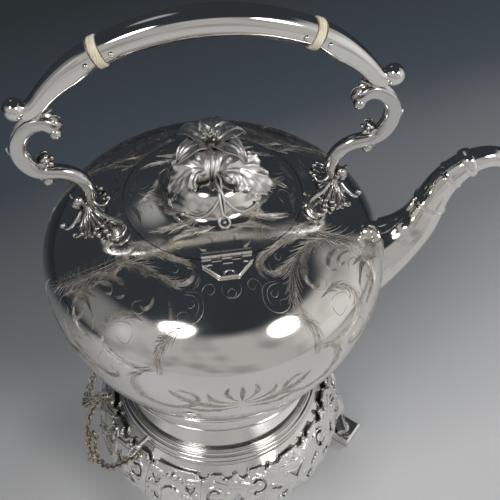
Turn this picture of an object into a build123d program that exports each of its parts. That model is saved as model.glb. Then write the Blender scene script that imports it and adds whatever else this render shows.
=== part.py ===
from build123d import *
import os
from math import acos, atan2, cos, degrees, pi, radians, sin

# A Victorian spirit kettle on its stand.  Millimetres.  The origin is on the kettle's axis at table
# level, +Z is up, the spout points along +X and the lid opens towards -Y.

# Kettle body: two superellipse halves that meet at the widest circle
BODY_RADIUS = 104.0
BODY_WIDEST_Z = 272.0
BODY_RISE = 44.5
BODY_RISE_POWER = 1.86
BODY_DROP = 104.6
BODY_DROP_POWER = 2.41
BODY_WALL = 1.5
BODY_FLOOR_RADIUS = 60.0
OUTLINE_STEPS = 8
SEAM_AZIMUTH = 90.0

# Lid, flush in the top of the body
LID_OPENING_RADIUS = 51.6
LID_RADIUS = 51.2
LID_GAP = 0.4
LID_SHEET = 1.4
LID_FLARE_RADIUS = 37.0
DOME_RADIUS = 24.6
DOME_SHOULDER_Z = 325.0
DOME_TOP_Z = 333.5
SEAT_INNER_RADIUS = 46.6
SEAT_Z = 307.4
SEAT_SHEET = 1.4
BEZEL_RADIUS = 45.4
BEZEL_DEPTH = 8.0

# Lid hinge
HINGE_Y = -50.0
HINGE_Z = 312.3
HINGE_LENGTH = 27.0
HINGE_BARREL_RADIUS = 1.9
HINGE_PIN_RADIUS = 0.8
HINGE_KNUCKLES = 5
KNUCKLE_GAP = 0.3
PIN_CLEARANCE = 0.05
LEAF_SHEET = 1.0
BODY_LEAF_STAND = 1.9
BODY_LEAF_FOOT_Y = -62.0
BODY_LEAF_FOOT_WIDTH = 10.0
LID_LEAF_END_Y = -42.5
LID_LEAF_WIDTH = 20.0

# Finial
STEM_RADIUS = 2.1
FLOWER_Z = 343.0
PETAL_COUNT = 6
PETAL_LENGTH = 17.5
PETAL_WIDTH = 9.0
PETAL_SHEET = 1.3
PETAL_RISE = 24.0
PETAL_TURN = 22.0
LEAF_TURNS = (165.0, 48.0, -12.0)
LEAF_LENGTH = 27.0
LEAF_WIDTH = 19.0
LEAF_RING_Z = 336.6
LEAF_DROOP = 16.0
FINIAL_NUT_RADIUS = 5.0
FINIAL_NUT_HEIGHT = 3.0

# Kettle foot: collar under the body and a spreading foot
COLLAR_RADIUS = 73.5
COLLAR_TOP_Z = 187.0
COLLAR_BOTTOM_Z = 163.0
FOOT_NECK_RADIUS = 57.0
FOOT_NECK_Z = 152.0
FOOT_RADIUS = 66.8
FOOT_EDGE_Z = 135.0
FOOT_SEAT_Z = 131.2
FOOT_WALL = 1.6
SPIGOT_RADIUS = 56.0
SPIGOT_BOTTOM_Z = 120.5

# Spout: centre line in the plane of the handle, with its radius at each point
SPOUT_LINE = [
    (90.0, 232.0, 26.0),
    (103.0, 240.0, 23.0),
    (114.5, 247.5, 18.8),
    (125.0, 257.5, 14.6),
    (132.5, 270.5, 11.8),
    (137.0, 287.0, 9.8),
    (144.5, 302.5, 8.6),
    (156.0, 312.5, 7.4),
    (167.0, 314.6, 6.4),
    (177.0, 312.0, 5.9),
    (186.0, 307.5, 5.6),
]
SPOUT_WALL = 1.3
BORE_OVERRUN = 1.5
SPOUT_COLLAR_POINT = 7
SPOUT_COLLAR_WIDTH = 4.5
SPOUT_COLLAR_STAND = 1.8
STRAINER_HOLE_RADIUS = 1.9
STRAINER_PITCH = 6.2
STRAINER_RINGS = 2
STRAINER_INNER_HOLES = 4
STRAINER_Z = 238.0

# Handle, all in the plane y = 0 and the same on both sides
GRIP_MID_Z = 419.6
RING_X = 52.4
RING_Z = 408.3
RING_WIDTH = 4.4
RING_DEPTH = 8.3
GRIP_HALF_DEPTH = 7.6
GRIP_HALF_WIDTH = 8.0
HANDLE_WALL = 1.3
HORN_LINE = [
    (58.6, 405.2, 6.9, 7.4),
    (66.5, 400.3, 6.2, 6.6),
    (75.0, 393.8, 5.3, 5.8),
    (82.5, 386.4, 4.7, 5.1),
    (88.6, 380.2, 4.3, 4.5),
    (93.4, 378.0, 3.9, 4.0),
]
HORN_BALL = (96.6, 380.0)
HORN_BALL_RADIUS = 7.0
SCROLL_LINE = [
    (79.2, 366.4, 4.2, 4.4),
    (84.2, 370.2, 4.3, 4.2),
    (91.3, 369.0, 4.2, 4.0),
    (97.4, 362.6, 4.4, 4.0),
    (99.4, 354.0, 4.6, 4.1),
    (96.6, 345.0, 4.5, 4.2),
    (89.5, 339.2, 4.3, 4.3),
    (81.4, 337.4, 4.4, 4.2),
    (74.0, 333.6, 4.3, 4.1),
    (69.3, 327.0, 4.0, 3.9),
    (68.0, 319.4, 3.3, 3.4),
    (69.4, 312.6, 2.6, 2.8),
]
SCROLL_END_BALL = (75.2, 315.2)
SCROLL_END_BALL_RADIUS = 3.3
SCROLL_BEAD = (88.6, 332.4)
SCROLL_BEAD_RADIUS = 3.2
SPRIG_POINT = (88.0, 345.4)
SPRIG_RADIUS = 3.4
JOIN_BEAD = (87.4, 375.2)
JOIN_BEAD_RADIUS = 3.6
RIVET_OFFSETS = (46.2, 58.4)
RIVET_HEIGHTS = (410.6, 405.4)
RIVET_RADIUS = 1.1
RIVET_HEAD_RADIUS = 1.7
MOUNT_X = 69.6
MOUNT_TOP_Z = 313.0
MOUNT_TILT = 21.0
MOUNT_RADIUS = 18.0
MOUNT_NECK_RADIUS = 4.2
MOUNT_LOBES = 7
MOUNT_LOBE_RADIUS = 2.6

# Stand ring and shoulder
RING_BORE_RADIUS = 57.0
RING_SEAT_Z = 131.0
RING_OUTER_RADIUS = 74.4
RING_BOTTOM_Z = 117.0
CHANNEL_WALL = 3.0
SHOULDER_SHEET = 1.5
SHOULDER_FOOT_RADIUS = 88.0
SHOULDER_FOOT_Z = 105.0

# Pierced apron and the legs
APRON_TOP_RADIUS = 80.5
APRON_TOP_Z = 117.0
APRON_FOOT_RADIUS = 93.6
APRON_FOOT_Z = 80.0
APRON_OUTLINE = [
    (APRON_TOP_RADIUS, APRON_TOP_Z),
    (85.6, 110.5),
    (89.6, 103.0),
    (92.4, 92.0),
    (APRON_FOOT_RADIUS, APRON_FOOT_Z),
]
APRON_SHEET = 2.6
SCROLL_SLOT_RADIUS = 5.6
CARTOUCHE_WIDTH = 13.0
CARTOUCHE_HEIGHT = 20.0
CARTOUCHE_STAND = 1.4
LEG_COUNT = 3
LEG_SECTOR = 13.5
LEG_WIDTH = 21.0
LEG_SHEET = 4.6
LEG_LINE = [(84.0, 97.0), (88.0, 86.0), (94.6, 74.0), (100.2, 60.0), (96.4, 44.0), (95.0, 28.0), (103.0, 8.0)]
PAD_SIDE = 23.0
PAD_RADIUS = 110.0
PAD_HEIGHT = 8.0

# Tilting hinge at the spout side, and the two locking pins
TILT_X = 80.5
TILT_Z = 128.5
TILT_BARREL_RADIUS = 3.2
TILT_PIN_RADIUS = 1.5
TILT_KNUCKLE = 7.0
TILT_LENGTH = 22.0
LOCK_AZIMUTH = 141.0
LOCK_Z = 124.6
LOCK_PIN_RADIUS = 1.6
LOCK_PIN_TIP = 57.4
LOCK_PIN_HEAD = 83.0
LOCK_TRAVEL = 5.0
LOCK_RING_RADIUS = 4.6
LOCK_WIRE = 0.6
LOCK_KNOB_RADIUS = 2.4

# Chains
CHAIN_WIRE = 0.6
LINK_RADIUS = 2.4
CHAIN_PITCH = 3.3
EYE_RADIUS = 3.0
EYE_WIRE = 0.8
CHAIN_EYE = (180.0, 86.8, 114.2)
JUMP_RING_RADIUS = 2.9
JUMP_RING_WIRE = 0.5
JUMP_RING_DROP = 0.7
LEFT_CHAIN_ROUTE = [
    (178.2, 91.6, 110.6), (176.5, 98.0, 103.0), (174.5, 103.6, 88.0), (171.0, 106.4, 70.0),
    (167.5, 107.0, 62.0), (164.6, 106.6, 70.0), (166.0, 105.0, 86.0), (168.0, 101.4, 97.0),
    (165.5, 99.8, 101.0), (161.5, 102.6, 95.0), (156.5, 103.4, 91.0), (150.5, 101.2, 96.0),
    (146.0, 95.8, 104.6), (143.0, 90.4, 111.4), (141.4, 86.6, 115.6),
]
RIGHT_CHAIN_ROUTE = [
    (178.2, 91.6, 110.6), (177.0, 101.2, 96.0), (172.0, 106.0, 82.0), (165.0, 107.4, 75.0),
    (157.0, 105.8, 80.0), (149.5, 101.0, 94.0), (145.8, 95.8, 104.6), (143.0, 90.4, 111.4),
    (141.4, 86.6, 115.6),
]

# Spirit burner, its frame and its cap
FRAME_Z = 60.0
FRAME_BORE = 30.4
FRAME_RADIUS = 34.5
FRAME_SHEET = 3.0
FRAME_ARM_WIDTH = 7.0
FRAME_TAB_RADIUS = 95.5
FRAME_SCREW_RISE = 3.8
BOWL_RADIUS = 30.0
BOWL_DEPTH = 24.0
BOWL_RIM_RADIUS = 33.5
BOWL_WALL = 1.2
WICK_TUBE_RADIUS = 6.4
WICK_TUBE_TOP_Z = 80.0
WICK_RADIUS = 5.3
CAP_RADIUS = 9.4
CAP_TOP_Z = 87.0
CAP_BASE_Z = 72.0
CAP_HINGE_X = 14.5
CAP_HINGE_Z = 74.5
CAP_PIN_RADIUS = 0.8


def save(shape, node):
    """Write one node, and say so."""
    export_step(shape, "parts/" + node + ".step")
    print(node, len(shape.solids()))


def turned(*outline):
    """Solid of revolution about the vertical axis, from lines given as (radius, height)."""
    edges = [edge for line in outline for edge in line.edges()]
    return revolve(Plane.XZ * make_face(edges), Axis.Z)


def turned_polygon(*points):
    """Solid of revolution from a closed polygon of (radius, height) points."""
    return turned(Polyline(*points, close=True))


def superellipse_arc(radius, rise, power, end_radius):
    """Part of a superellipse from the body's widest circle to where it has narrowed to a radius."""
    end = acos((end_radius / radius) ** (power / 2))
    points = []
    for step in range(OUTLINE_STEPS + 1):
        turn = end * step / OUTLINE_STEPS
        points.append((radius * cos(turn) ** (2 / power), BODY_WIDEST_Z + rise * sin(turn) ** (2 / power)))
    inward = -radius * cos(end) ** (2 / power - 1) * sin(end)
    upward = rise * sin(end) ** (2 / power - 1) * cos(end)
    return Spline(*points, tangents=[(0, rise), (inward, upward)])


def body_arcs(grow):
    """Lower and upper arcs of the body's outline, grown outwards by a distance."""
    lower = superellipse_arc(BODY_RADIUS + grow, -BODY_DROP - grow, BODY_DROP_POWER, BODY_FLOOR_RADIUS)
    upper = superellipse_arc(BODY_RADIUS + grow, BODY_RISE + grow, BODY_RISE_POWER, LID_OPENING_RADIUS)
    return lower, upper


def body_top_height(radius, grow=0.0):
    """Height of the upper body surface at a radius."""
    share = 1 - (radius / (BODY_RADIUS + grow)) ** BODY_RISE_POWER
    return BODY_WIDEST_Z + (BODY_RISE + grow) * share ** (1 / BODY_RISE_POWER)


def body_blank(grow=0.0):
    """The body as a filled solid, to trim what is soldered onto it."""
    lower, upper = body_arcs(grow)
    foot = lower @ 1
    top = upper @ 1
    return about_axis(turned(lower, upper, Polyline(top, (0, top.Y), (0, foot.Y), foot)), SEAM_AZIMUTH)


def about_axis(shape, angle):
    """Turn a shape about the vertical axis."""
    return Rot(0, 0, angle) * shape


def radial_plane(angle, height):
    """Plane on the axis that faces outwards at an angle: its x runs sideways, its y up."""
    turn = radians(angle)
    return Plane(origin=(0, 0, height), x_dir=(-sin(turn), cos(turn), 0), z_dir=(cos(turn), sin(turn), 0))


def lofted_bar(stations, grow=0.0):
    """Bar in the plane y = 0 lofted through (x, z, half depth, half width) stations."""
    path = Spline(*[(x, 0, z) for x, z, depth, width in stations])
    sections = []
    for x, z, depth, width in stations:
        along = path.tangent_at(path.param_at_point((x, 0, z)))
        plane = Plane(origin=(x, 0, z), x_dir=(0, 1, 0), z_dir=along)
        sections.append(plane * Ellipse(width + grow, depth + grow))
    return loft(sections)


def both_sides(shape):
    """A shape and its mirror image on the other side of the plane x = 0."""
    return [shape, mirror(shape, Plane.YZ)]


# ---- Kettle body ----------------------------------------------------------------------------------


def strainer_drills():
    """Drills for the strainer behind the spout: one hole and two rings of holes round it."""
    spots = [(0.0, 0.0)]
    for ring in range(1, STRAINER_RINGS + 1):
        for hole in range(STRAINER_INNER_HOLES * ring):
            turn = 2 * pi * hole / (STRAINER_INNER_HOLES * ring)
            spots.append((ring * STRAINER_PITCH * cos(turn), ring * STRAINER_PITCH * sin(turn)))
    drill = Cylinder(STRAINER_HOLE_RADIUS, 60, rotation=(0, 90, 0))
    return [Pos(BODY_RADIUS, y, STRAINER_Z + z) * drill for y, z in spots]


def kettle_body():
    """Raised body with a flat floor, open at the lid and drilled behind the spout."""
    lower, upper = body_arcs(0.0)
    inner_lower, inner_upper = body_arcs(-BODY_WALL)
    foot = lower @ 1
    inner_foot = inner_lower @ 1
    floor = Polyline(foot, (0, foot.Y), (0, inner_foot.Y), inner_foot)
    shell = turned(lower, upper, Line(upper @ 1, inner_upper @ 1), inner_lower, inner_upper, floor)
    return about_axis(shell, SEAM_AZIMUTH) - strainer_drills()


def lid_seat_ring():
    """Ring soldered inside the opening, on which the lid rests."""
    low = SEAT_Z - SEAT_SHEET
    outer = LID_OPENING_RADIUS + 1.0
    return turned_polygon(
        (SEAT_INNER_RADIUS, low - 3.0),
        (SEAT_INNER_RADIUS + 1.2, low - 3.0),
        (SEAT_INNER_RADIUS + 1.2, low),
        (outer, low),
        (outer, SEAT_Z),
        (SEAT_INNER_RADIUS, SEAT_Z),
    )


def kettle_foot():
    """Moulded collar under the body, drawn in to a neck and spread to a foot with a locating spigot."""
    shell = turned_polygon(
        (COLLAR_RADIUS - 6.0, COLLAR_TOP_Z + 4.0),
        (COLLAR_RADIUS + 0.6, COLLAR_TOP_Z + 4.0),
        (COLLAR_RADIUS + 1.4, COLLAR_TOP_Z - 1.5),
        (COLLAR_RADIUS + 0.2, COLLAR_TOP_Z - 4.0),
        (COLLAR_RADIUS, COLLAR_TOP_Z - 6.0),
        (COLLAR_RADIUS + 0.4, COLLAR_TOP_Z - 12.0),
        (COLLAR_RADIUS - 0.6, COLLAR_BOTTOM_Z + 3.0),
        (COLLAR_RADIUS - 1.6, COLLAR_BOTTOM_Z),
        (FOOT_NECK_RADIUS + 5.0, COLLAR_BOTTOM_Z - 1.5),
        (FOOT_NECK_RADIUS + 1.2, COLLAR_BOTTOM_Z - 5.0),
        (FOOT_NECK_RADIUS, FOOT_NECK_Z + 2.0),
        (FOOT_NECK_RADIUS + 0.6, FOOT_NECK_Z - 4.0),
        (FOOT_NECK_RADIUS + 3.6, FOOT_NECK_Z - 11.0),
        (FOOT_RADIUS - 0.6, FOOT_EDGE_Z + 0.6),
        (FOOT_RADIUS, FOOT_EDGE_Z),
        (FOOT_RADIUS, FOOT_SEAT_Z),
        (SPIGOT_RADIUS, FOOT_SEAT_Z),
        (SPIGOT_RADIUS, SPIGOT_BOTTOM_Z),
        (SPIGOT_RADIUS - FOOT_WALL, SPIGOT_BOTTOM_Z),
        (SPIGOT_RADIUS - FOOT_WALL, FOOT_SEAT_Z + 1.4),
        (FOOT_NECK_RADIUS + 3.4 - FOOT_WALL, FOOT_NECK_Z - 13.0),
        (FOOT_NECK_RADIUS - FOOT_WALL, FOOT_NECK_Z - 4.0),
        (FOOT_NECK_RADIUS - FOOT_WALL, COLLAR_BOTTOM_Z - 4.0),
        (FOOT_NECK_RADIUS + 4.0, COLLAR_BOTTOM_Z + 1.0),
        (COLLAR_RADIUS - 4.0, COLLAR_BOTTOM_Z + 2.5),
        (COLLAR_RADIUS - 4.0, COLLAR_TOP_Z - 5.0),
    )
    holes = [lock_drill(side, LOCK_PIN_RADIUS + 0.3) for side in (-1, 1)]
    return shell - body_blank() - holes


# ---- Spout ----------------------------------------------------------------------------------------


def spout_stations():
    """Stations of the spout as (x, z, half depth, half width)."""
    return [(x, z, radius, radius) for x, z, radius in SPOUT_LINE]


def spout():
    """Swan-neck spout, hollow from the strainer to the mouth."""
    stations = spout_stations()
    mouth_x, mouth_z, mouth_radius = SPOUT_LINE[-1]
    beyond = (mouth_x + BORE_OVERRUN * 2, mouth_z - BORE_OVERRUN, mouth_radius, mouth_radius)
    bore = lofted_bar(stations + [beyond], -SPOUT_WALL)
    return lofted_bar(stations) - bore - body_blank()


def spout_collar():
    """Raised collar round the spout before its mouth."""
    x, z, radius = SPOUT_LINE[SPOUT_COLLAR_POINT]
    before = SPOUT_LINE[SPOUT_COLLAR_POINT - 1]
    after = SPOUT_LINE[SPOUT_COLLAR_POINT + 1]
    along = Vector(after[0] - before[0], 0, after[1] - before[1]).normalized()
    plane = Plane(origin=(x, 0, z), x_dir=(0, 1, 0), z_dir=along)
    ring = plane * Cylinder(radius + SPOUT_COLLAR_STAND, SPOUT_COLLAR_WIDTH)
    ring = fillet(ring.edges(), SPOUT_COLLAR_STAND * 0.8)
    return ring - lofted_bar(spout_stations())


# ---- Lid and its hinge ----------------------------------------------------------------------------


def lid_outline(drop):
    """Lid surface from its edge to its top as (radius, height) points, sunk by a sheet thickness."""
    edge = [(radius, body_top_height(radius) - drop) for radius in (LID_RADIUS, 46.0, 41.0)]
    flare_z = body_top_height(LID_FLARE_RADIUS)
    wall = DOME_RADIUS - drop
    bell = [
        (LID_FLARE_RADIUS - drop * 0.4, flare_z + 0.5 - drop),
        (DOME_RADIUS + 5.6 - drop, flare_z + 2.2 - drop * 0.6),
        (wall + 1.5, flare_z + 5.0),
        (wall, flare_z + 9.0),
        (wall - 1.2, DOME_SHOULDER_Z),
        (wall * 0.72, DOME_SHOULDER_Z + 5.6 - drop * 0.5),
        (wall * 0.38, DOME_TOP_Z - 0.8 - drop),
        (0, DOME_TOP_Z - drop),
    ]
    return edge + bell


def lid():
    """Lid with a bell-shaped dome, spun from one sheet."""
    outer = lid_outline(0.0)
    inner = lid_outline(LID_SHEET)
    return turned(
        Spline(*outer, tangents=[(-1, 0.27), (-1, 0)]),
        Line(outer[-1], inner[-1]),
        Spline(*inner, tangents=[(-1, 0.27), (-1, 0)]),
        Line(inner[0], outer[0]),
    )


def lid_blank():
    """The lid as a filled solid, to trim what is soldered onto it."""
    outer = lid_outline(0.0)
    return turned(
        Spline(*outer, tangents=[(-1, 0.27), (-1, 0)]),
        Polyline(outer[-1], (0, SEAT_Z), (LID_RADIUS, SEAT_Z), outer[0]),
    )


def lid_bezel():
    """Plain ring under the lid that centres it in the seat."""
    top = body_top_height(BEZEL_RADIUS) - LID_SHEET - 0.1
    return turned_polygon(
        (BEZEL_RADIUS - 1.0, top),
        (BEZEL_RADIUS, top),
        (BEZEL_RADIUS, top - BEZEL_DEPTH),
        (BEZEL_RADIUS - 1.0, top - BEZEL_DEPTH),
    )


def hinge_knuckles(numbers, reach_y, reach_drop):
    """Knuckles of one hinge leaf, each with a web to its leaf."""
    pitch = HINGE_LENGTH / HINGE_KNUCKLES
    bore = Cylinder(HINGE_PIN_RADIUS + PIN_CLEARANCE, HINGE_LENGTH + 2, rotation=(0, 90, 0))
    pieces = []
    for number in numbers:
        x = (number - (HINGE_KNUCKLES - 1) / 2) * pitch
        width = pitch - KNUCKLE_GAP
        barrel = Pos(x, HINGE_Y, HINGE_Z) * Cylinder(HINGE_BARREL_RADIUS, width, rotation=(0, 90, 0))
        web = Pos(x, HINGE_Y + reach_y / 2, HINGE_Z - reach_drop) * Box(width, abs(reach_y), LEAF_SHEET)
        pieces.append(barrel + web)
    return [piece - Pos(0, HINGE_Y, HINGE_Z) * bore for piece in pieces]


def body_hinge_leaf():
    """Trapezoid leaf soldered on the body, with three knuckles."""
    half_top = HINGE_LENGTH / 2
    half_foot = BODY_LEAF_FOOT_WIDTH / 2
    top_y = HINGE_Y - 3.6
    outline = Polyline(
        (-half_top, top_y), (half_top, top_y),
        (half_foot, BODY_LEAF_FOOT_Y), (-half_foot, BODY_LEAF_FOOT_Y), close=True)
    prism = Pos(0, 0, HINGE_Z - 12) * extrude(make_face(outline), 16)
    plate = (prism & body_blank(BODY_LEAF_STAND)) - body_blank()
    shape = plate.solids()[0]
    for knuckle in hinge_knuckles((0, 2, 4), -5.4, 1.5):
        shape = shape + (knuckle - body_blank())
    return shape


def lid_hinge_leaf():
    """Small leaf soldered on the lid, with two knuckles."""
    start_y = HINGE_Y + 3.4
    slope = degrees(atan2(body_top_height(42.0) - body_top_height(47.0), 5.0))
    mid_y = (start_y + LID_LEAF_END_Y) / 2
    length = LID_LEAF_END_Y - start_y + 1.5
    plate = Pos(0, mid_y, body_top_height(-mid_y) + 0.4) * Rot(slope, 0, 0) * Box(LID_LEAF_WIDTH, length, 2.0)
    shape = plate - lid_blank()
    for knuckle in hinge_knuckles((1, 3), 5.0, 0.7):
        shape = shape + (knuckle - lid_blank())
    return shape


def hinge_pin():
    """Pin through the five knuckles."""
    return Pos(0, HINGE_Y, HINGE_Z) * Cylinder(HINGE_PIN_RADIUS, HINGE_LENGTH + 0.4, rotation=(0, 90, 0))


# ---- Finial ---------------------------------------------------------------------------------------


def petal(length, width, sheet, angle, rise, root_radius, height, droop=0.0):
    """One pointed petal or leaf, standing out from the stem at an angle."""
    half = width / 2
    outline = [
        Spline((root_radius, 0), (root_radius + length * 0.45, half), (root_radius + length, 0)),
        Spline((root_radius + length, 0), (root_radius + length * 0.45, -half), (root_radius, 0)),
    ]
    blade = extrude(make_face(outline), sheet)
    return Pos(0, 0, height) * Rot(0, 0, angle) * Rot(0, droop - rise, 0) * blade


def finial_flower():
    """Six-petalled cast flower with a domed centre."""
    shape = Pos(0, 0, FLOWER_Z + 1.2) * Sphere(4.2)
    for number in range(PETAL_COUNT):
        angle = 360 * number / PETAL_COUNT + PETAL_TURN
        shape = shape + petal(PETAL_LENGTH, PETAL_WIDTH, PETAL_SHEET, angle, PETAL_RISE, 1.5, FLOWER_Z)
    return shape


def finial_leaves():
    """Three broad leaves that droop over the dome."""
    shape = Pos(0, 0, LEAF_RING_Z) * Cylinder(3.4, 3.0)
    for angle in LEAF_TURNS:
        shape = shape + petal(LEAF_LENGTH, LEAF_WIDTH, 1.4, angle, 0, 1.0, LEAF_RING_Z, LEAF_DROOP)
    return shape - lid_blank() - finial_bore()


def finial_bore():
    """Hole that the stem passes through."""
    return Pos(0, 0, LEAF_RING_Z) * Cylinder(STEM_RADIUS, 60)


def finial_stem():
    """Stem from the flower through the leaves and the dome, threaded below for its nut."""
    low = DOME_TOP_Z - LID_SHEET - FINIAL_NUT_HEIGHT - 1.0
    top = FLOWER_Z - 3.2
    return Pos(0, 0, (low + top) / 2) * Cylinder(STEM_RADIUS, top - low)


def finial_nut():
    """Nut under the dome that holds the finial."""
    low = DOME_TOP_Z - LID_SHEET - FINIAL_NUT_HEIGHT - 0.4
    blank = extrude(RegularPolygon(FINIAL_NUT_RADIUS, 6), FINIAL_NUT_HEIGHT)
    return Pos(0, 0, low) * (blank - Cylinder(STEM_RADIUS, 20))


# ---- Handle ---------------------------------------------------------------------------------------


def grip_stations():
    """Stations of the middle of the handle, an arch between the two insulators."""
    half = RING_X - RING_WIDTH / 2 - 0.2
    stations = []
    for step in range(-4, 5):
        x = half * step / 4
        z = GRIP_MID_Z - (GRIP_MID_Z - RING_Z) * (x / RING_X) ** 2
        swell = 1 - 0.08 * (x / half) ** 2
        stations.append((x, z, GRIP_HALF_DEPTH * swell, GRIP_HALF_WIDTH * swell))
    return stations


def handle_grip():
    """Hollow arched grip between the insulators."""
    return lofted_bar(grip_stations()) - lofted_bar(grip_stations(), -HANDLE_WALL)


def ring_plane():
    """Plane square to the handle at the right-hand insulator."""
    slope = -2 * (GRIP_MID_Z - RING_Z) / RING_X
    return Plane(origin=(RING_X, 0, RING_Z), x_dir=(0, 1, 0), z_dir=Vector(1, 0, slope).normalized())


def insulator():
    """Ivory ring with a spigot into each metal part."""
    ring = extrude(Ellipse(RING_DEPTH, RING_DEPTH - 0.3), RING_WIDTH / 2, both=True)
    ring = fillet(ring.edges(), 0.9)
    spigot = extrude(Ellipse(4.6, 4.0), 12.0, both=True)
    return ring_plane() * (ring + spigot)


def handle_horn():
    """Hollow end of the handle, tapered to a ball."""
    x, z = HORN_BALL
    ball = Pos(x, 0, z) * Sphere(HORN_BALL_RADIUS)
    cut = ring_plane() * Pos(0, 0, -20 + RING_WIDTH / 2 + 0.05) * Box(60, 60, 40)
    root = (RING_X, RING_Z, GRIP_HALF_DEPTH * 0.92, GRIP_HALF_WIDTH * 0.94)
    stations = [root] + HORN_LINE
    bore = lofted_bar(stations[:4], -HANDLE_WALL)
    return (lofted_bar(stations) + ball) - cut - bore


def handle_scroll():
    """Cast C-scroll that runs on into an S-scroll, down to its mount."""
    bar = lofted_bar(SCROLL_LINE)
    for (x, z), radius in (
        (SCROLL_END_BALL, SCROLL_END_BALL_RADIUS),
        (SCROLL_BEAD, SCROLL_BEAD_RADIUS),
        (SPRIG_POINT, SPRIG_RADIUS),
        (JOIN_BEAD, JOIN_BEAD_RADIUS),
    ):
        bar = bar + Pos(x, 0, z) * Sphere(radius)
    bar = bar + Pos(71.6, 0, 313.4) * Rot(0, 62, 0) * Cylinder(1.7, 8)
    return bar + Pos(SCROLL_LINE[0][0], 0, SCROLL_LINE[0][1]) * Sphere(4.6)


def handle_mount():
    """Flared cast mount on the body's shoulder, with lobes round its foot."""
    bell = turned_polygon(
        (0, 0), (MOUNT_NECK_RADIUS, 0), (MOUNT_NECK_RADIUS + 0.6, -1.2), (MOUNT_NECK_RADIUS - 0.3, -2.6),
        (MOUNT_NECK_RADIUS + 1.4, -4.6), (8.6, -6.4), (12.6, -7.6), (MOUNT_RADIUS - 3, -8.2),
        (MOUNT_RADIUS - 3, -24), (0, -24))
    for number in range(MOUNT_LOBES):
        turn = 2 * pi * number / MOUNT_LOBES
        at = MOUNT_RADIUS - MOUNT_LOBE_RADIUS
        bell = bell + Pos(at * cos(turn), at * sin(turn), -9.4) * Sphere(MOUNT_LOBE_RADIUS)
    placed = Pos(MOUNT_X, 0, MOUNT_TOP_Z) * Rot(0, MOUNT_TILT, 0) * bell
    lid_space = Pos(0, 0, MOUNT_TOP_Z) * Cylinder(LID_RADIUS + LID_GAP, MOUNT_RADIUS)
    return placed - body_blank() - handle_scroll() - lid_space


def handle_rivets():
    """Pins through the metal ends and the insulator spigots, one solid each."""
    pins = []
    for x, z in zip(RIVET_OFFSETS, RIVET_HEIGHTS):
        pin = Cylinder(RIVET_RADIUS, 2 * GRIP_HALF_WIDTH - 0.6, rotation=(90, 0, 0))
        for side in (-1, 1):
            pin = pin + Pos(0, side * (GRIP_HALF_WIDTH - 1.0), 0) * Sphere(RIVET_HEAD_RADIUS)
        pins = pins + both_sides(Pos(x, 0, z) * pin)
    return pins


# ---- Stand ----------------------------------------------------------------------------------------


def stand_ring():
    """Channel-section ring that carries the kettle's foot, bored for the locking pins."""
    ring = turned_polygon(
        (RING_BORE_RADIUS, RING_SEAT_Z),
        (RING_OUTER_RADIUS - 5.6, RING_SEAT_Z),
        (RING_OUTER_RADIUS - 3.9, RING_SEAT_Z - 0.8),
        (RING_OUTER_RADIUS - 3.7, RING_SEAT_Z - 2.4),
        (RING_OUTER_RADIUS - 3.0, RING_SEAT_Z - 3.6),
        (RING_OUTER_RADIUS - 1.4, RING_SEAT_Z - 5.2),
        (RING_OUTER_RADIUS - 0.3, RING_SEAT_Z - 7.6),
        (RING_OUTER_RADIUS, RING_SEAT_Z - 10.0),
        (RING_OUTER_RADIUS - 0.5, RING_SEAT_Z - 12.4),
        (RING_OUTER_RADIUS - 1.8, RING_BOTTOM_Z),
        (RING_OUTER_RADIUS - 8.4, RING_BOTTOM_Z),
        (RING_OUTER_RADIUS - 8.4, RING_SEAT_Z - CHANNEL_WALL),
        (RING_BORE_RADIUS + CHANNEL_WALL, RING_SEAT_Z - CHANNEL_WALL),
        (RING_BORE_RADIUS + CHANNEL_WALL, RING_BOTTOM_Z + 2.0),
        (RING_BORE_RADIUS, RING_BOTTOM_Z + 2.0),
    )
    return ring - [lock_drill(side, LOCK_PIN_RADIUS + PIN_CLEARANCE * 2) for side in (-1, 1)]


def shoulder_outline(sink):
    """Top or under side of the shoulder as (radius, height) points."""
    return [
        (RING_OUTER_RADIUS - 7.0, RING_BOTTOM_Z - sink),
        (RING_OUTER_RADIUS - 1.2, RING_BOTTOM_Z - sink),
        ((RING_OUTER_RADIUS + SHOULDER_FOOT_RADIUS) / 2, SHOULDER_FOOT_Z + 5.2 - sink),
        (SHOULDER_FOOT_RADIUS + 3.0, SHOULDER_FOOT_Z - 2.4 - sink),
    ]


def stand_shoulder():
    """Plain flared sheet from the ring down to the inside of the apron."""
    sheet = turned_polygon(*shoulder_outline(0.0), *reversed(shoulder_outline(SHOULDER_SHEET)))
    inside = turned_polygon(
        (0, APRON_TOP_Z + 9.0),
        (APRON_TOP_RADIUS - APRON_SHEET, APRON_TOP_Z + 9.0),
        *[(radius - APRON_SHEET, height) for radius, height in APRON_OUTLINE],
        (0, APRON_FOOT_Z),
    )
    return sheet & inside


def apron_band(outside, inside):
    """Plain band on the apron's outline, from a distance outside it to a distance inside it."""
    outer = [(radius + outside, height) for radius, height in APRON_OUTLINE]
    inner = [(radius - inside, height) for radius, height in reversed(APRON_OUTLINE)]
    return turned_polygon(*outer, *inner)


def punched(angle, height, sketch):
    """A sketch drawn on the apron's face at an angle and height, as a cutter through the band."""
    return extrude(radial_plane(angle, height) * sketch, APRON_FOOT_RADIUS + 20)


def sector(angle, half_width):
    """Wedge about the vertical axis, as wide as one piece of the apron."""
    reach = 2 * APRON_FOOT_RADIUS
    turn = radians(half_width)
    side_x = reach * cos(turn)
    side_y = reach * sin(turn)
    outline = Polyline((0, 0), (side_x, -side_y), (reach, 0), (side_x, side_y), close=True)
    return Rot(0, 0, angle) * extrude(make_face(outline), 2 * APRON_TOP_Z)


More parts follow.
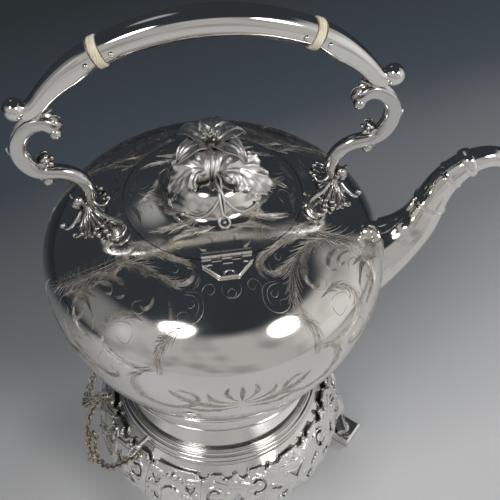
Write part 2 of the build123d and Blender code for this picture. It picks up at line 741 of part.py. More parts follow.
def c_slot(opens):
    """C-shaped slot round a disc that stays joined on one side."""
    bridge = Pos(opens * SCROLL_SLOT_RADIUS, 0) * Rectangle(SCROLL_SLOT_RADIUS * 1.4, SCROLL_SLOT_RADIUS)
    return Circle(SCROLL_SLOT_RADIUS) - Circle(SCROLL_SLOT_RADIUS * 0.68) - bridge


def panel_cutters(centre):
    """Openings and edge scallops of one pierced panel, the same on both sides of its centre."""
    chevron = make_face(Polyline((-6.4, 3.8), (0, 0.8), (6.4, 3.8), (0, -5.6), close=True))
    lozenge = make_face(Polyline((0, 5.2), (3.6, 0), (0, -5.2), (-3.6, 0), close=True))
    cutters = [punched(centre, 101.5, chevron), punched(centre, 76.0, Circle(9.0))]
    for side in (-1, 1):
        slot = Rot(0, 0, side * 38) * SlotOverall(10.0, 3.2)
        cutters += [
            punched(centre + side * 11.5, 99.0, slot),
            punched(centre + side * 19.5, 106.0, c_slot(side)),
            punched(centre + side * 29.5, 99.5, lozenge),
            punched(centre + side * 40.5, 103.0, c_slot(-side)),
            punched(centre + side * 7.5, 88.5, Ellipse(2.4, 3.6)),
            punched(centre + side * 20.5, 90.0, Ellipse(4.2, 2.6)),
            punched(centre + side * 38.0, 89.5, Ellipse(4.0, 2.8)),
            punched(centre + side * 7.8, 119.4, Circle(4.6)),
            punched(centre + side * 13.6, 118.6, Circle(3.2)),
            punched(centre + side * 26.0, 119.0, Circle(5.4)),
            punched(centre + side * 33.6, 119.6, Circle(5.2)),
            punched(centre + side * 46.5, 119.2, Circle(5.4)),
            punched(centre + side * 14.0, 77.0, Circle(6.4)),
            punched(centre + side * 29.5, 76.5, Circle(8.6)),
            punched(centre + side * 43.6, 77.5, Circle(5.4)),
        ]
    return cutters


def apron_panel(centre):
    """Cast and pierced panel between two legs."""
    band = apron_band(0.0, APRON_SHEET) & sector(centre, 180 / LEG_COUNT - LEG_SECTOR)
    return band - panel_cutters(centre)


def arch_sketch():
    """Upright plate with a round head."""
    half = CARTOUCHE_WIDTH / 2
    return Rectangle(CARTOUCHE_WIDTH, CARTOUCHE_HEIGHT) + Pos(0, CARTOUCHE_HEIGHT / 2) * Circle(half)


def apron_corner(centre):
    """Cast piece over a leg: a plain arched cartouche between two tapered openings."""
    band = apron_band(0.0, APRON_SHEET) & sector(centre, LEG_SECTOR)
    for side in (-1, 1):
        taper = make_face(Polyline((-1.7, -5.4), (1.7, -4.2), (1.7, 4.4), (-1.7, 3.2), close=True))
        band = band - punched(centre + side * 8.6, 100.5, taper)
        band = band - punched(centre + side * 9.4, 119.8, Circle(4.4))
        band = band - punched(centre + side * LEG_SECTOR, 86.0, Ellipse(2.6, 4.0))
    plate = apron_band(CARTOUCHE_STAND, 0.0) & punched(centre, 95.0, arch_sketch())
    return band + plate


def leg_blank():
    """Strap leg at angle 0 with the S-shape of its side view."""
    outer = [(radius + LEG_SHEET / 2, height) for radius, height in LEG_LINE]
    inner = [(radius - LEG_SHEET / 2, height) for radius, height in LEG_LINE]
    outline = [Spline(*outer), Line(outer[-1], inner[-1]), Spline(*inner), Line(inner[0], outer[0])]
    face = Plane.XZ * make_face([edge for line in outline for edge in line.edges()])
    strap = extrude(face, LEG_WIDTH / 2, both=True)
    foot_radius, foot_z = LEG_LINE[-1]
    volute = Pos(foot_radius + 3.4, 0, foot_z + 4.8) * Cylinder(4.8, LEG_WIDTH - 4.0, rotation=(90, 0, 0))
    return strap + volute


def leg(angle):
    """Strap leg, fitted inside the apron and drilled for the burner frame's screw."""
    keep_out = apron_band(12.0, APRON_SHEET)
    shape = (leg_blank() - keep_out).solids().sort_by(SortBy.VOLUME)[-1]
    return about_axis(shape - frame_screw(0), angle)


def leg_foot(angle):
    """Square plinth under a leg, set corner outwards."""
    block = Pos(PAD_RADIUS, 0, PAD_HEIGHT / 2) * Rot(0, 0, 45) * Box(PAD_SIDE, PAD_SIDE, PAD_HEIGHT)
    block = chamfer(block.faces().sort_by(Axis.Z)[-1].edges(), 1.6)
    return about_axis(block, angle)


# ---- Tilting hinge and locking pins ---------------------------------------------------------------


def tilt_bore():
    """Bore along the tilting hinge."""
    return Pos(TILT_X, 0, TILT_Z) * Cylinder(TILT_PIN_RADIUS + PIN_CLEARANCE, 60, rotation=(90, 0, 0))


def tilt_lug_stand():
    """Two knuckles on the stand, one on each side of the kettle's knuckle, one solid each."""
    width = (TILT_LENGTH - TILT_KNUCKLE) / 2 - KNUCKLE_GAP
    lugs = []
    for side in (-1, 1):
        y = side * (TILT_LENGTH - width) / 2
        barrel = Pos(TILT_X, y, TILT_Z) * Cylinder(TILT_BARREL_RADIUS, width, rotation=(90, 0, 0))
        web = Pos(TILT_X - 4.6, y, TILT_Z - 6.5) * Box(11.6, width, 13.0)
        keep_out = turned_polygon((0, 140), (RING_OUTER_RADIUS, 140), (RING_OUTER_RADIUS, 117), (0, 117))
        lug = (barrel + web) - keep_out - stand_shoulder() - apron_band(0.0, APRON_SHEET) - tilt_bore()
        lugs.append(lug.solids().sort_by(SortBy.VOLUME)[-1])
    return lugs


def tilt_lug_kettle():
    """Arm from the kettle's foot out to the middle knuckle."""
    over = FOOT_EDGE_Z - 0.6
    under = RING_SEAT_Z + 0.5
    outline = Polyline(
        (FOOT_RADIUS - 6.0, under), (TILT_X - 5.6, under), (TILT_X - 2.6, TILT_Z), (TILT_X + 2.9, TILT_Z),
        (TILT_X + 2.4, TILT_Z + 3.6), (TILT_X, over), (FOOT_RADIUS - 6.0, over), close=True)
    arm = extrude(Plane.XZ * make_face(outline), TILT_KNUCKLE / 2, both=True)
    barrel = Pos(TILT_X, 0, TILT_Z) * Cylinder(TILT_BARREL_RADIUS, TILT_KNUCKLE, rotation=(90, 0, 0))
    return (arm + barrel) - tilt_bore() - kettle_foot()


def tilt_pin():
    """Pin on which the kettle tips, with a small head at each end."""
    pin = Cylinder(TILT_PIN_RADIUS, TILT_LENGTH + 0.4, rotation=(90, 0, 0))
    for side in (-1, 1):
        pin = pin + Pos(0, side * (TILT_LENGTH / 2 + 0.7), 0) * Cylinder(2.2, 1.0, rotation=(90, 0, 0))
    return Pos(TILT_X, 0, TILT_Z) * pin


def lock_drill(side, radius):
    """Radial drill at the height of the locking pins."""
    return extrude(radial_plane(side * LOCK_AZIMUTH, LOCK_Z) * Circle(radius), 2 * RING_OUTER_RADIUS)


def lock_pin(side):
    """Locking pin, drawn out of the kettle's foot, with its split ring."""
    plane = radial_plane(side * LOCK_AZIMUTH, LOCK_Z)
    rod = Pos(0, 0, LOCK_PIN_TIP) * extrude(Circle(LOCK_PIN_RADIUS), LOCK_PIN_HEAD - LOCK_PIN_TIP)
    knob = Pos(0, 0, LOCK_PIN_HEAD) * Sphere(LOCK_KNOB_RADIUS)
    eye = Rot(0, 90, 0) * Torus(LOCK_RING_RADIUS, LOCK_WIRE)
    ring = Pos(0, 0, LOCK_PIN_HEAD + LOCK_RING_RADIUS) * eye
    return plane * (rod + knob + ring)


# ---- Chains ---------------------------------------------------------------------------------------


def round_stand(azimuth, radius, height):
    """Point beside the stand, from its azimuth, radius and height."""
    return (radius * cos(radians(azimuth)), radius * sin(radians(azimuth)), height)


def chain(route, side):
    """Row of round links along a route, every second one turned across it, one solid each."""
    path = Spline(*[round_stand(side * azimuth, radius, height) for azimuth, radius, height in route])
    count = int(path.length / CHAIN_PITCH)
    links = []
    for number in range(count + 1):
        share = number / count
        link = Torus(LINK_RADIUS, CHAIN_WIRE)
        along = path.tangent_at(share)
        place = Plane(origin=path.position_at(share), x_dir=along, z_dir=across(along))
        links.append(place * Rot(90 * (number % 2), 0, 0) * link)
    return links


def jump_ring(side):
    """Ring at the end of a chain, looped round the split ring of a locking pin."""
    height = LOCK_Z - LOCK_RING_RADIUS - JUMP_RING_DROP
    plane = radial_plane(side * LOCK_AZIMUTH, height)
    middle = LOCK_PIN_HEAD + LOCK_RING_RADIUS - LOCK_TRAVEL / 2
    return plane * Pos(0, 0, middle) * Torus(JUMP_RING_RADIUS, JUMP_RING_WIRE)


def across(along):
    """Direction square to a run of chain."""
    return along.cross(Vector(0.3, 0.2, 1)).normalized()


def chain_eye():
    """Staple on the apron from which both chains hang."""
    x, y, z = round_stand(*CHAIN_EYE)
    staple = Pos(x, y, z) * Rot(90, 0, 0) * Torus(EYE_RADIUS, EYE_WIRE)
    return staple - apron_band(0.0, APRON_SHEET)


# ---- Spirit burner --------------------------------------------------------------------------------


def frame_screw(angle):
    """Screw from the tab of a burner arm into a leg, above the arm."""
    height = FRAME_Z + FRAME_SCREW_RISE
    shank = Pos(FRAME_TAB_RADIUS + 2.4, 0, height) * Cylinder(1.3, 8.0, rotation=(0, 90, 0))
    head = Pos(FRAME_TAB_RADIUS - 2.3, 0, height) * Cylinder(2.0, 1.6, rotation=(0, 90, 0))
    return about_axis(shank + head, angle)


def leg_angles():
    """Azimuths of the legs, the first one under the spout."""
    return [360 * number / LEG_COUNT for number in range(LEG_COUNT)]


def burner_ring():
    """Flat ring on which the burner rests."""
    return Pos(0, 0, FRAME_Z) * (Cylinder(FRAME_RADIUS, FRAME_SHEET) - Cylinder(FRAME_BORE, FRAME_SHEET * 2))


def burner_arm(angle):
    """Arm from the burner's ring to a leg, with an upright tab for its screw."""
    start = (FRAME_RADIUS + FRAME_BORE) / 2
    length = FRAME_TAB_RADIUS - start
    arm = Pos(start + length / 2, 0, FRAME_Z) * Box(length, FRAME_ARM_WIDTH, FRAME_SHEET)
    tab = Pos(FRAME_TAB_RADIUS + 1.5, 0, FRAME_Z) * Box(6.0, FRAME_ARM_WIDTH + 4, 12.0)
    room = Pos(FRAME_TAB_RADIUS - 3.6, 0, FRAME_Z + 3.6) * Box(6.0, 8.0, 4.2)
    shape = (arm + tab) - burner_ring() - leg_blank() - frame_screw(0) - room
    return about_axis(shape.solids().sort_by(SortBy.VOLUME)[-1], angle)


def burner_bowl():
    """Spirit bowl with a flange that rests on the frame."""
    seat = FRAME_Z + FRAME_SHEET / 2 + 0.1
    low = seat - BOWL_DEPTH
    outer = [
        (0, low),
        (BOWL_RADIUS * 0.66, low + 2.0),
        (BOWL_RADIUS * 0.93, low + 8.5),
        (BOWL_RADIUS, low + 17.0),
    ]
    inner = [(radius - BOWL_WALL if radius else 0, height + BOWL_WALL) for radius, height in outer]
    return turned(
        Spline(*outer, tangents=[(1, 0), (0, 1)]),
        Polyline(outer[-1], (BOWL_RADIUS, seat), (BOWL_RIM_RADIUS, seat), (BOWL_RIM_RADIUS, seat + BOWL_WALL),
                 (BOWL_RADIUS - BOWL_WALL, seat + BOWL_WALL), inner[-1]),
        Spline(*inner, tangents=[(1, 0), (0, 1)]),
        Line(inner[0], outer[0]),
    )


def burner_top():
    """Domed top of the burner, screwed on over the flange, with the wick tube's hole."""
    seat = FRAME_Z + FRAME_SHEET / 2 + 0.1 + BOWL_WALL
    return turned_polygon(
        (BOWL_RIM_RADIUS - 1.0, seat), (BOWL_RIM_RADIUS - 1.0, seat + 2.0),
        (24.0, seat + 4.4), (14.0, seat + 6.0),
        (WICK_TUBE_RADIUS + 2.2, seat + 6.4), (WICK_TUBE_RADIUS + 2.2, seat + 8.0),
        (WICK_TUBE_RADIUS, seat + 8.0),
        (WICK_TUBE_RADIUS, seat + 5.0), (14.0, seat + 4.6), (24.0, seat + 3.0), (27.0, seat))


def wick_tube():
    """Tube that holds the wick."""
    low = FRAME_Z - 6.0
    tube = Cylinder(WICK_TUBE_RADIUS, WICK_TUBE_TOP_Z - low) - Cylinder(WICK_RADIUS, 100)
    return Pos(0, 0, (WICK_TUBE_TOP_Z + low) / 2) * tube


def wick():
    """Round woven wick."""
    low = FRAME_Z - 12.0
    return Pos(0, 0, (WICK_TUBE_TOP_Z + 1.2 + low) / 2) * Cylinder(WICK_RADIUS, WICK_TUBE_TOP_Z + 1.2 - low)


def cap_axle(radius, length):
    """Cylinder along the cap's hinge."""
    return Pos(CAP_HINGE_X, 0, CAP_HINGE_Z) * Cylinder(radius, length, rotation=(90, 0, 0))


def cap_bracket():
    """Fork on the burner's top that carries the cap, one solid for both cheeks and their foot."""
    cheek = Pos(CAP_HINGE_X, 0, CAP_HINGE_Z - 2.6) * Box(4.0, 9.6, 8.0)
    slot = Pos(CAP_HINGE_X, 0, CAP_HINGE_Z) * Box(8.0, 6.4, 6.0)
    return cheek - slot - cap_axle(CAP_PIN_RADIUS, 20) - burner_top()


def cap_pin():
    """Pin of the cap's hinge, fast in the fork."""
    return cap_axle(CAP_PIN_RADIUS, 9.6)


def snuffer_cap():
    """Cap that swings over the wick, with its knuckle."""
    height = CAP_TOP_Z - CAP_BASE_Z
    cup = Pos(0, 0, CAP_BASE_Z + height / 2) * Cylinder(CAP_RADIUS, height)
    room = Pos(0, 0, CAP_BASE_Z + height / 2 - BOWL_WALL) * Cylinder(CAP_RADIUS - BOWL_WALL, height)
    knob = Pos(0, 0, CAP_TOP_Z + 1.6) * Sphere(2.4)
    reach = CAP_HINGE_X - CAP_RADIUS + 0.8
    arm = Pos(CAP_HINGE_X - reach / 2, 0, CAP_HINGE_Z) * Box(reach, 5.6, 2.0)
    shape = cup + knob + arm + cap_axle(1.9, 5.6)
    return shape - room - cap_axle(CAP_PIN_RADIUS + PIN_CLEARANCE, 20)


if __name__ == "__main__":
    os.makedirs("parts", exist_ok=True)

    save(kettle_body(), "kettle_body")
    save(lid_seat_ring(), "lid_seat_ring")
    save(kettle_foot(), "kettle_foot")
    save(spout(), "spout")
    save(spout_collar(), "spout_collar")
    save(body_hinge_leaf(), "hinge_leaf_body")
    save(hinge_pin(), "lid_hinge_pin")

    save(lid() - finial_bore(), "lid")
    save(lid_bezel(), "lid_bezel")
    save(lid_hinge_leaf(), "hinge_leaf_lid")
    save(finial_flower(), "finial_flower")
    save(finial_leaves(), "finial_leaves")
    save(finial_stem(), "finial_stem")
    save(finial_nut(), "finial_nut")

    rivets = handle_rivets()
    save(handle_grip() - rivets, "handle_grip")
    save(Compound(rivets), "handle_rivets")
    horn = handle_horn() - rivets
    for name, piece in (
        ("handle_ring", insulator() - rivets),
        ("handle_end", horn),
        ("handle_scroll", handle_scroll() - handle_horn()),
        ("handle_mount", handle_mount()),
    ):
        right, left = both_sides(piece)
        save(right, name + "_right")
        save(left, name + "_left")

    save(stand_ring(), "stand_ring")
    save(stand_shoulder(), "stand_shoulder")
    for number, angle in enumerate(leg_angles(), start=1):
        save(apron_panel(angle + 180 / LEG_COUNT), f"apron_panel_{number}")
        save(apron_corner(angle), f"apron_corner_{number}")
        save(leg(angle), f"leg_{number}")
        save(leg_foot(angle), f"leg_foot_{number}")

    save(Compound(tilt_lug_stand()), "tilt_lugs_stand")
    save(tilt_lug_kettle(), "tilt_lug_kettle")
    save(tilt_pin(), "tilt_pin")
    save(lock_pin(-1), "lock_pin_left")
    save(lock_pin(1), "lock_pin_right")
    save(chain_eye(), "chain_eye")
    save(Compound(chain(LEFT_CHAIN_ROUTE, -1) + [jump_ring(-1)]), "chain_left")
    save(Compound(chain(RIGHT_CHAIN_ROUTE, 1) + [jump_ring(1)]), "chain_right")

    save(burner_ring(), "burner_ring")
    for number, angle in enumerate(leg_angles(), start=1):
        save(burner_arm(angle), f"burner_arm_{number}")
    save(Compound([frame_screw(angle) for angle in leg_angles()]), "frame_screws")
    save(burner_bowl(), "burner_bowl")
    save(burner_top(), "burner_top")
    save(wick_tube(), "wick_tube")
    save(wick(), "wick")
    save(cap_bracket(), "cap_bracket")
    save(cap_pin(), "cap_pin")
    save(snuffer_cap(), "snuffer_cap")
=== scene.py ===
from math import atan2, cos, exp, hypot, pi, radians, sin

import bpy
import numpy as np
from mathutils import Matrix, Vector


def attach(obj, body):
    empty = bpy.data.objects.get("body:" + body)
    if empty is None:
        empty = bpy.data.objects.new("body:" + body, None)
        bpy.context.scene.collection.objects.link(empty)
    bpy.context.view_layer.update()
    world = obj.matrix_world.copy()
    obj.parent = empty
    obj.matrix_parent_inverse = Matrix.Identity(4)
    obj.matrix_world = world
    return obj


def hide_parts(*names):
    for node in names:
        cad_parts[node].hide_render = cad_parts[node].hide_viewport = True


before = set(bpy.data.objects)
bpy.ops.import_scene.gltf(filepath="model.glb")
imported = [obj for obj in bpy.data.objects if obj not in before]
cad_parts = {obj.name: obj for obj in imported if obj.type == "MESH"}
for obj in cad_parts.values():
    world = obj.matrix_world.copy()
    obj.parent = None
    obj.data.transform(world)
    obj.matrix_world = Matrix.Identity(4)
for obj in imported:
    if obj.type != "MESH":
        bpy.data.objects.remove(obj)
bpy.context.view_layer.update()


# Table and view
# The kettle stands on a sweep of grey paper whose colour runs from pale near the front edge to slate grey
# further back and is darker to the left; the ramp is partly the paper's own tone and partly painted shade for
# the light's fall-off.
# It is seen from above its lid hinge, between two soft boxes, with a bright room behind the viewer.
MM = 0.001
SHEET_REACH = 3000.0
SHEET_FRONT = -900.0
PAPER_AND_FALLOFF_TONES = [
    (0.0, (0.60, 0.60, 0.60)),
    (0.24, (0.62, 0.615, 0.62)),
    (0.30, (0.52, 0.52, 0.525)),
    (0.35, (0.40, 0.40, 0.405)),
    (0.41, (0.25, 0.255, 0.26)),
    (0.495, (0.160, 0.169, 0.183)),
    (0.56, (0.076, 0.090, 0.108)),
    (0.62, (0.062, 0.075, 0.092)),
    (0.80, (0.037, 0.045, 0.050)),
]
PAPER_FALLOFF_TURN = -0.17
PAPER_STRETCH = 0.62
PAPER_MIDDLE = 0.30


def mesh_object(name, shape, material, sharp_angle=35):
    """Mesh object from millimetre points, shaded smooth but creased where faces meet sharply."""
    vertices, faces = shape
    mesh = bpy.data.meshes.new(name)
    mesh.from_pydata([(x * MM, y * MM, z * MM) for x, y, z in vertices], [], [tuple(f) for f in faces])
    mesh.validate()
    mesh.shade_smooth()
    mesh.set_sharp_from_angle(angle=radians(sharp_angle))
    mesh.materials.append(material)
    made = bpy.data.objects.new(name, mesh)
    bpy.context.scene.collection.objects.link(made)
    return made


def new_material(name, metallic=0.0):
    """Material with its node tree and main shader."""
    material = bpy.data.materials.new(name)
    material.use_nodes = True
    shader = material.node_tree.nodes["Principled BSDF"]
    shader.inputs["Metallic"].default_value = metallic
    return material, material.node_tree, shader


def places(tree, kind="Object"):
    """Place on a piece, or for the room the direction that is seen."""
    return tree.nodes.new("ShaderNodeTexCoord").outputs[kind]


def axes(tree, place):
    """The three coordinates of a place."""
    split = tree.nodes.new("ShaderNodeSeparateXYZ")
    tree.links.new(place, split.inputs[0])
    return split.outputs


def ramp(tree, source, stops):
    """Colour ramp fed by a socket, from (position, colour) stops in rising order."""
    node = tree.nodes.new("ShaderNodeValToRGB")
    elements = node.color_ramp.elements
    while len(elements) < len(stops):
        elements.new(0.5)
    for element, (position, colour) in zip(elements, stops):
        element.position = position
        element.color = (*colour, 1)
    tree.links.new(source, node.inputs[0])
    return node.outputs[0]


def tinted(tree, shader, source, stops):
    """Colours a shader from a ramp."""
    tree.links.new(ramp(tree, source, stops), shader.inputs["Base Color"])


def pattern(tree, kind, place, scale, detail=2.0, distortion=0.0):
    """Noise or wave pattern over a place, from 0 to 1."""
    node = tree.nodes.new("ShaderNodeTex" + kind)
    node.inputs["Scale"].default_value = scale
    node.inputs["Detail"].default_value = detail
    node.inputs["Distortion"].default_value = distortion
    tree.links.new(place, node.inputs["Vector"])
    return node.outputs["Fac"]


def stretched(tree, source, low, high, to_low=0.0, to_high=1.0, eased=False):
    """A value's stretch from low to high moved on to another, with soft ends if eased."""
    node = tree.nodes.new("ShaderNodeMapRange")
    if eased:
        node.interpolation_type = "SMOOTHSTEP"
    for name, value in zip(("From Min", "From Max", "To Min", "To Max"), (low, high, to_low, to_high)):
        node.inputs[name].default_value = value
    tree.links.new(source, node.inputs["Value"])
    return node.outputs[0]


def arithmetic(tree, operation, first, second, third=None):
    """Math node; each value is a socket or a number."""
    node = tree.nodes.new("ShaderNodeMath")
    node.operation = operation
    for socket, value in zip(node.inputs, (first, second, third)):
        if value is None:
            continue
        if isinstance(value, (int, float)):
            socket.default_value = value
        else:
            tree.links.new(value, socket)
    return node.outputs[0]


# Painted shade: the paper's colour ramp darkens towards the back and to the left where the light falls off,
# on top of its own tone.
paper, tree, shader = new_material("grey_paper_and_painted_falloff")
over, ahead, up = axes(tree, places(tree))
back_share = arithmetic(tree, "MULTIPLY_ADD", ahead, PAPER_STRETCH, PAPER_MIDDLE)
tinted(tree, shader, arithmetic(tree, "MULTIPLY_ADD", over, PAPER_FALLOFF_TURN, back_share), PAPER_AND_FALLOFF_TONES)
shader.inputs["Roughness"].default_value = 0.9
shader.inputs["Specular IOR Level"].default_value = 0.1

sheet_corners = [
    (-SHEET_REACH, SHEET_FRONT, 0), (SHEET_REACH, SHEET_FRONT, 0),
    (SHEET_REACH, SHEET_REACH, 0), (-SHEET_REACH, SHEET_REACH, 0),
]
table = mesh_object("table_sheet", (sheet_corners, [(0, 1, 2, 3)]), paper)

CAMERA_PLACE = Vector((-38.0, -312.2, 607.2)) * MM
CAMERA_PITCH = radians(47.77)
CAMERA_YAW = radians(10.94)
CAMERA_ROLL = radians(1.26)
LENS = 54.1
camera_data = bpy.data.cameras.new("camera")
camera_data.lens = LENS
camera_data.sensor_width = 36.0
camera_data.clip_start = 0.01
camera = bpy.data.objects.new("camera", camera_data)
bpy.context.scene.collection.objects.link(camera)
level = Vector((cos(CAMERA_YAW), -sin(CAMERA_YAW), 0))
ahead_level = Vector((sin(CAMERA_YAW), cos(CAMERA_YAW), 0))
forward = ahead_level * cos(CAMERA_PITCH) - Vector((0, 0, sin(CAMERA_PITCH)))
upward = level.cross(forward)
across = level * cos(CAMERA_ROLL) + upward * sin(CAMERA_ROLL)
upright = upward * cos(CAMERA_ROLL) - level * sin(CAMERA_ROLL)
turn = Matrix((across, upright, -forward)).transposed()
camera.matrix_world = Matrix.Translation(CAMERA_PLACE) @ turn.to_4x4()
bpy.context.scene.camera = camera
bpy.context.scene.view_settings.view_transform = "Standard"


LAMP_TARGET = (0, 0, 0.25)
NEAR_BOX = (0.62, 0.42, 7.2)
SIDE_BOX = (0.7, 0.5, 7)
FAR_BOX = (0.5, 0.2, 3)


def soft_box(name, place, target, size, colour=(1, 1, 1)):
    """Rectangular soft light that faces a point; its size is (width, height, power)."""
    data = bpy.data.lights.new(name, "AREA")
    data.shape = "RECTANGLE"
    data.size, data.size_y, data.energy = size
    data.color = colour
    lamp = bpy.data.objects.new(name, data)
    bpy.context.scene.collection.objects.link(lamp)
    lamp.location = place
    lamp.rotation_euler = (Vector(target) - Vector(place)).to_track_quat("-Z", "Y").to_euler()
    lamp.visible_glossy = False


soft_box("left_box", (-1.02, -0.74, 1.55), LAMP_TARGET, NEAR_BOX)
soft_box("right_box", (0.78, -1.06, 1.50), LAMP_TARGET, NEAR_BOX)
soft_box("side_box", (1.5, 0.5, 1.3), LAMP_TARGET, SIDE_BOX, (0.95, 0.98, 1.0))
soft_box("far_box", (-0.5, 1.6, 1.9), (0, 0, 0.2), FAR_BOX, (0.92, 0.96, 1.0))

ROOM_BACK = (0.029, 0.034, 0.041)
ROOM_FRONT = (0.42, 0.415, 0.41)
ROOM_TURN = -0.35
ROOM_EDGE = 0.12
CEILING_START = 0.66
CLUTTER_SCALE = 2.8
CLUTTER_DARK = 0.62
CLUTTER_PALE = 1.25
ROOM_GLOWS = [
    (-142, 50, 2, 10, 9.0),
    (141, 38, 2, 10, 9.0),
    (112, 12, 8, 34, 0.28),
    (-100, 20, 6, 26, 0.16),
    (-20, 48, 3, 10, 0.35),
]
world = bpy.data.worlds.new("studio")
world.use_nodes = True
bpy.context.scene.world = world
tree = world.node_tree
seen = places(tree, "Generated")
over, ahead, up = axes(tree, seen)
front = arithmetic(tree, "MULTIPLY_ADD", over, ROOM_TURN, ahead)
front = stretched(tree, front, ROOM_EDGE, -ROOM_EDGE, eased=True)
ceiling = stretched(tree, up, CEILING_START + ROOM_EDGE, CEILING_START, eased=True)
clutter = pattern(tree, "Noise", seen, CLUTTER_SCALE, 1.0)
clutter = stretched(tree, clutter, 0.35, 0.65, CLUTTER_DARK, CLUTTER_PALE)
lit = arithmetic(tree, "MULTIPLY", arithmetic(tree, "MULTIPLY", front, ceiling), clutter)
room = ramp(tree, lit, [(0.0, ROOM_BACK), (1.0, ROOM_FRONT)])
glow = 0.0
for facing, height, inner, outer, strength in ROOM_GLOWS:
    turn, rise = radians(facing), radians(height)
    toward = tree.nodes.new("ShaderNodeVectorMath")
    toward.operation = "DOT_PRODUCT"
    tree.links.new(seen, toward.inputs[0])
    toward.inputs[1].default_value = (sin(turn) * cos(rise), cos(turn) * cos(rise), sin(rise))
    fade = stretched(tree, toward.outputs["Value"], cos(radians(outer)), cos(radians(inner)), eased=True)
    glow = arithmetic(tree, "MULTIPLY_ADD", fade, strength, glow)
filled = tree.nodes.new("ShaderNodeVectorMath")
tree.links.new(room, filled.inputs[0])
tree.links.new(glow, filled.inputs[1])
tree.links.new(filled.outputs[0], tree.nodes["Background"].inputs["Color"])
tree.nodes["Background"].inputs["Strength"].default_value = 1.0


# Kettle body
# A flattened globe raised from sheet silver, 208 mm across, with a flat floor and a round opening
# for the lid.  It is burnished bright, and the light shows faint rubbing marks all over it.
BODY_RADIUS = 104.0
BODY_WIDEST_Z = 272.0
BODY_RISE = 44.5
BODY_RISE_POWER = 1.86
BODY_DROP = 104.6
BODY_DROP_POWER = 2.41
CROWN_RADII = (51.6, 60.0, 68.0, 76.0, 84.0)
WAIST_LINE = [
    (91.0, 291.0), (97.0, 284.7), (101.3, 277.6), (103.5, 269.4), (103.9, 260.5), (103.0, 249.5),
    (101.0, 237.9), (98.0, 226.8),
]
BELLY_RADII = (94.0, 89.0, 83.0, 76.0, 68.0, 60.0)


def globe_points(radii, reach, power):
    """Points of the globe above or below its widest place, to a tenth of a millimetre."""
    rises = [reach * (1 - (radius / BODY_RADIUS) ** power) ** (1 / power) for radius in radii]
    return [(radius, round(BODY_WIDEST_Z + rise, 1)) for radius, rise in zip(radii, rises)]


# The crown and the belly follow the globe's formula, and the waist between them is eased with listed
# points so that no crease shows at the widest place.
BODY_LINE = (
    globe_points(CROWN_RADII, BODY_RISE, BODY_RISE_POWER) + WAIST_LINE
    + globe_points(BELLY_RADII, -BODY_DROP, BODY_DROP_POWER)
)
BODY_WALL = 1.5
ROUND_STEPS = 256
SILVER = (0.91, 0.895, 0.865)
TARNISH = (0.80, 0.76, 0.69)
RUB_SCALE = 38.0
STAIN_SCALE = 11.0
DENT_SCALE = 26.0


def bumped(tree, shader, height, strength, depth):
    """Raises and sinks a shader's surface by a pattern."""
    bump = tree.nodes.new("ShaderNodeBump")
    bump.inputs["Strength"].default_value = strength
    bump.inputs["Distance"].default_value = depth
    tree.links.new(height, bump.inputs["Height"])
    tree.links.new(bump.outputs[0], shader.inputs["Normal"])


def polished_silver(name, roughness=0.05, rub=0.06, dents=0.0):
    """Burnished silver: bright, with cloudy rubbing marks in its gloss and a faint warm tarnish."""
    material, tree, shader = new_material(name, 1.0)
    where = places(tree)
    marks = pattern(tree, "Noise", where, RUB_SCALE, 6.0)
    gloss = stretched(tree, marks, 0.35, 0.75, roughness, roughness + rub)
    tree.links.new(gloss, shader.inputs["Roughness"])
    tinted(tree, shader, pattern(tree, "Noise", where, STAIN_SCALE, 4.0), [(0.35, SILVER), (0.85, TARNISH)])
    if dents:
        bumped(tree, shader, pattern(tree, "Noise", where, DENT_SCALE, 1.0), dents, MM)
    return material


def smooth_line(points, steps):
    """Evenly spaced points along a natural cubic spline through the given points."""
    knots = np.array(points, float)
    at = np.concatenate([[0], np.cumsum(np.linalg.norm(np.diff(knots, axis=0), axis=1))])
    gaps = np.diff(at)
    count = len(knots)
    rows = np.eye(count)
    right = np.zeros_like(knots)
    for i in range(1, count - 1):
        rows[i, i - 1:i + 2] = gaps[i - 1], 2 * (gaps[i - 1] + gaps[i]), gaps[i]
        right[i] = 6 * ((knots[i + 1] - knots[i]) / gaps[i] - (knots[i] - knots[i - 1]) / gaps[i - 1])
    bends = np.linalg.solve(rows, right)
    line = []
    for distance in np.linspace(0, at[-1], steps + 1):
        i = min(int(np.searchsorted(at, distance, side="right")) - 1, count - 2)
        before = (at[i + 1] - distance) / gaps[i]
        after = 1 - before
        bow = (before**3 - before) * bends[i] + (after**3 - after) * bends[i + 1]
        line.append(before * knots[i] + after * knots[i + 1] + bow * gaps[i] ** 2 / 6)
    return np.array(line)


def skin_faces(rows, around, round_trip=False, closed=True):
    """Faces between rows of points; closed rows run round a section, a round trip ends on its start."""
    faces = []
    for row in range(rows if round_trip else rows - 1):
        this, after = row * around, (row + 1) % rows * around
        for corner in range(around if closed else around - 1):
            beside = (corner + 1) % around
            faces.append((this + corner, this + beside, after + beside, after + corner))
    return faces


def turned(outline):
    """Surface of revolution of a closed outline of (radius, height) points."""
    vertices = []
    for step in range(ROUND_STEPS):
        angle = 2 * pi * step / ROUND_STEPS
        vertices += [(r * cos(angle), r * sin(angle), z) for r, z in outline]
    return vertices, [face[::-1] for face in skin_faces(ROUND_STEPS, len(outline), round_trip=True)]


def skin_of(line):
    """Outline points with the distance run along them and the direction that faces out of them."""
    run = np.concatenate([[0], np.cumsum(np.linalg.norm(np.diff(line, axis=0), axis=1))])
    along = np.gradient(line, axis=0)
    along /= np.linalg.norm(along, axis=1)[:, None]
    return line, run, np.stack([-along[:, 1], along[:, 0]], axis=1)


def weld(piece):
    """Joins points that lie together, such as those at the pole of a turned piece."""
    modifier = piece.modifiers.new("weld", "WELD")
    modifier.merge_threshold = 0.002 * MM
    return piece


def belongs(piece, body, *nodes, slot="silver"):
    """Ties a piece to its moving body and hides the plain solids that it stands for; the finish slot is not
    used.
    """
    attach(piece, body)
    if nodes:
        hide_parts(*nodes)
    return piece


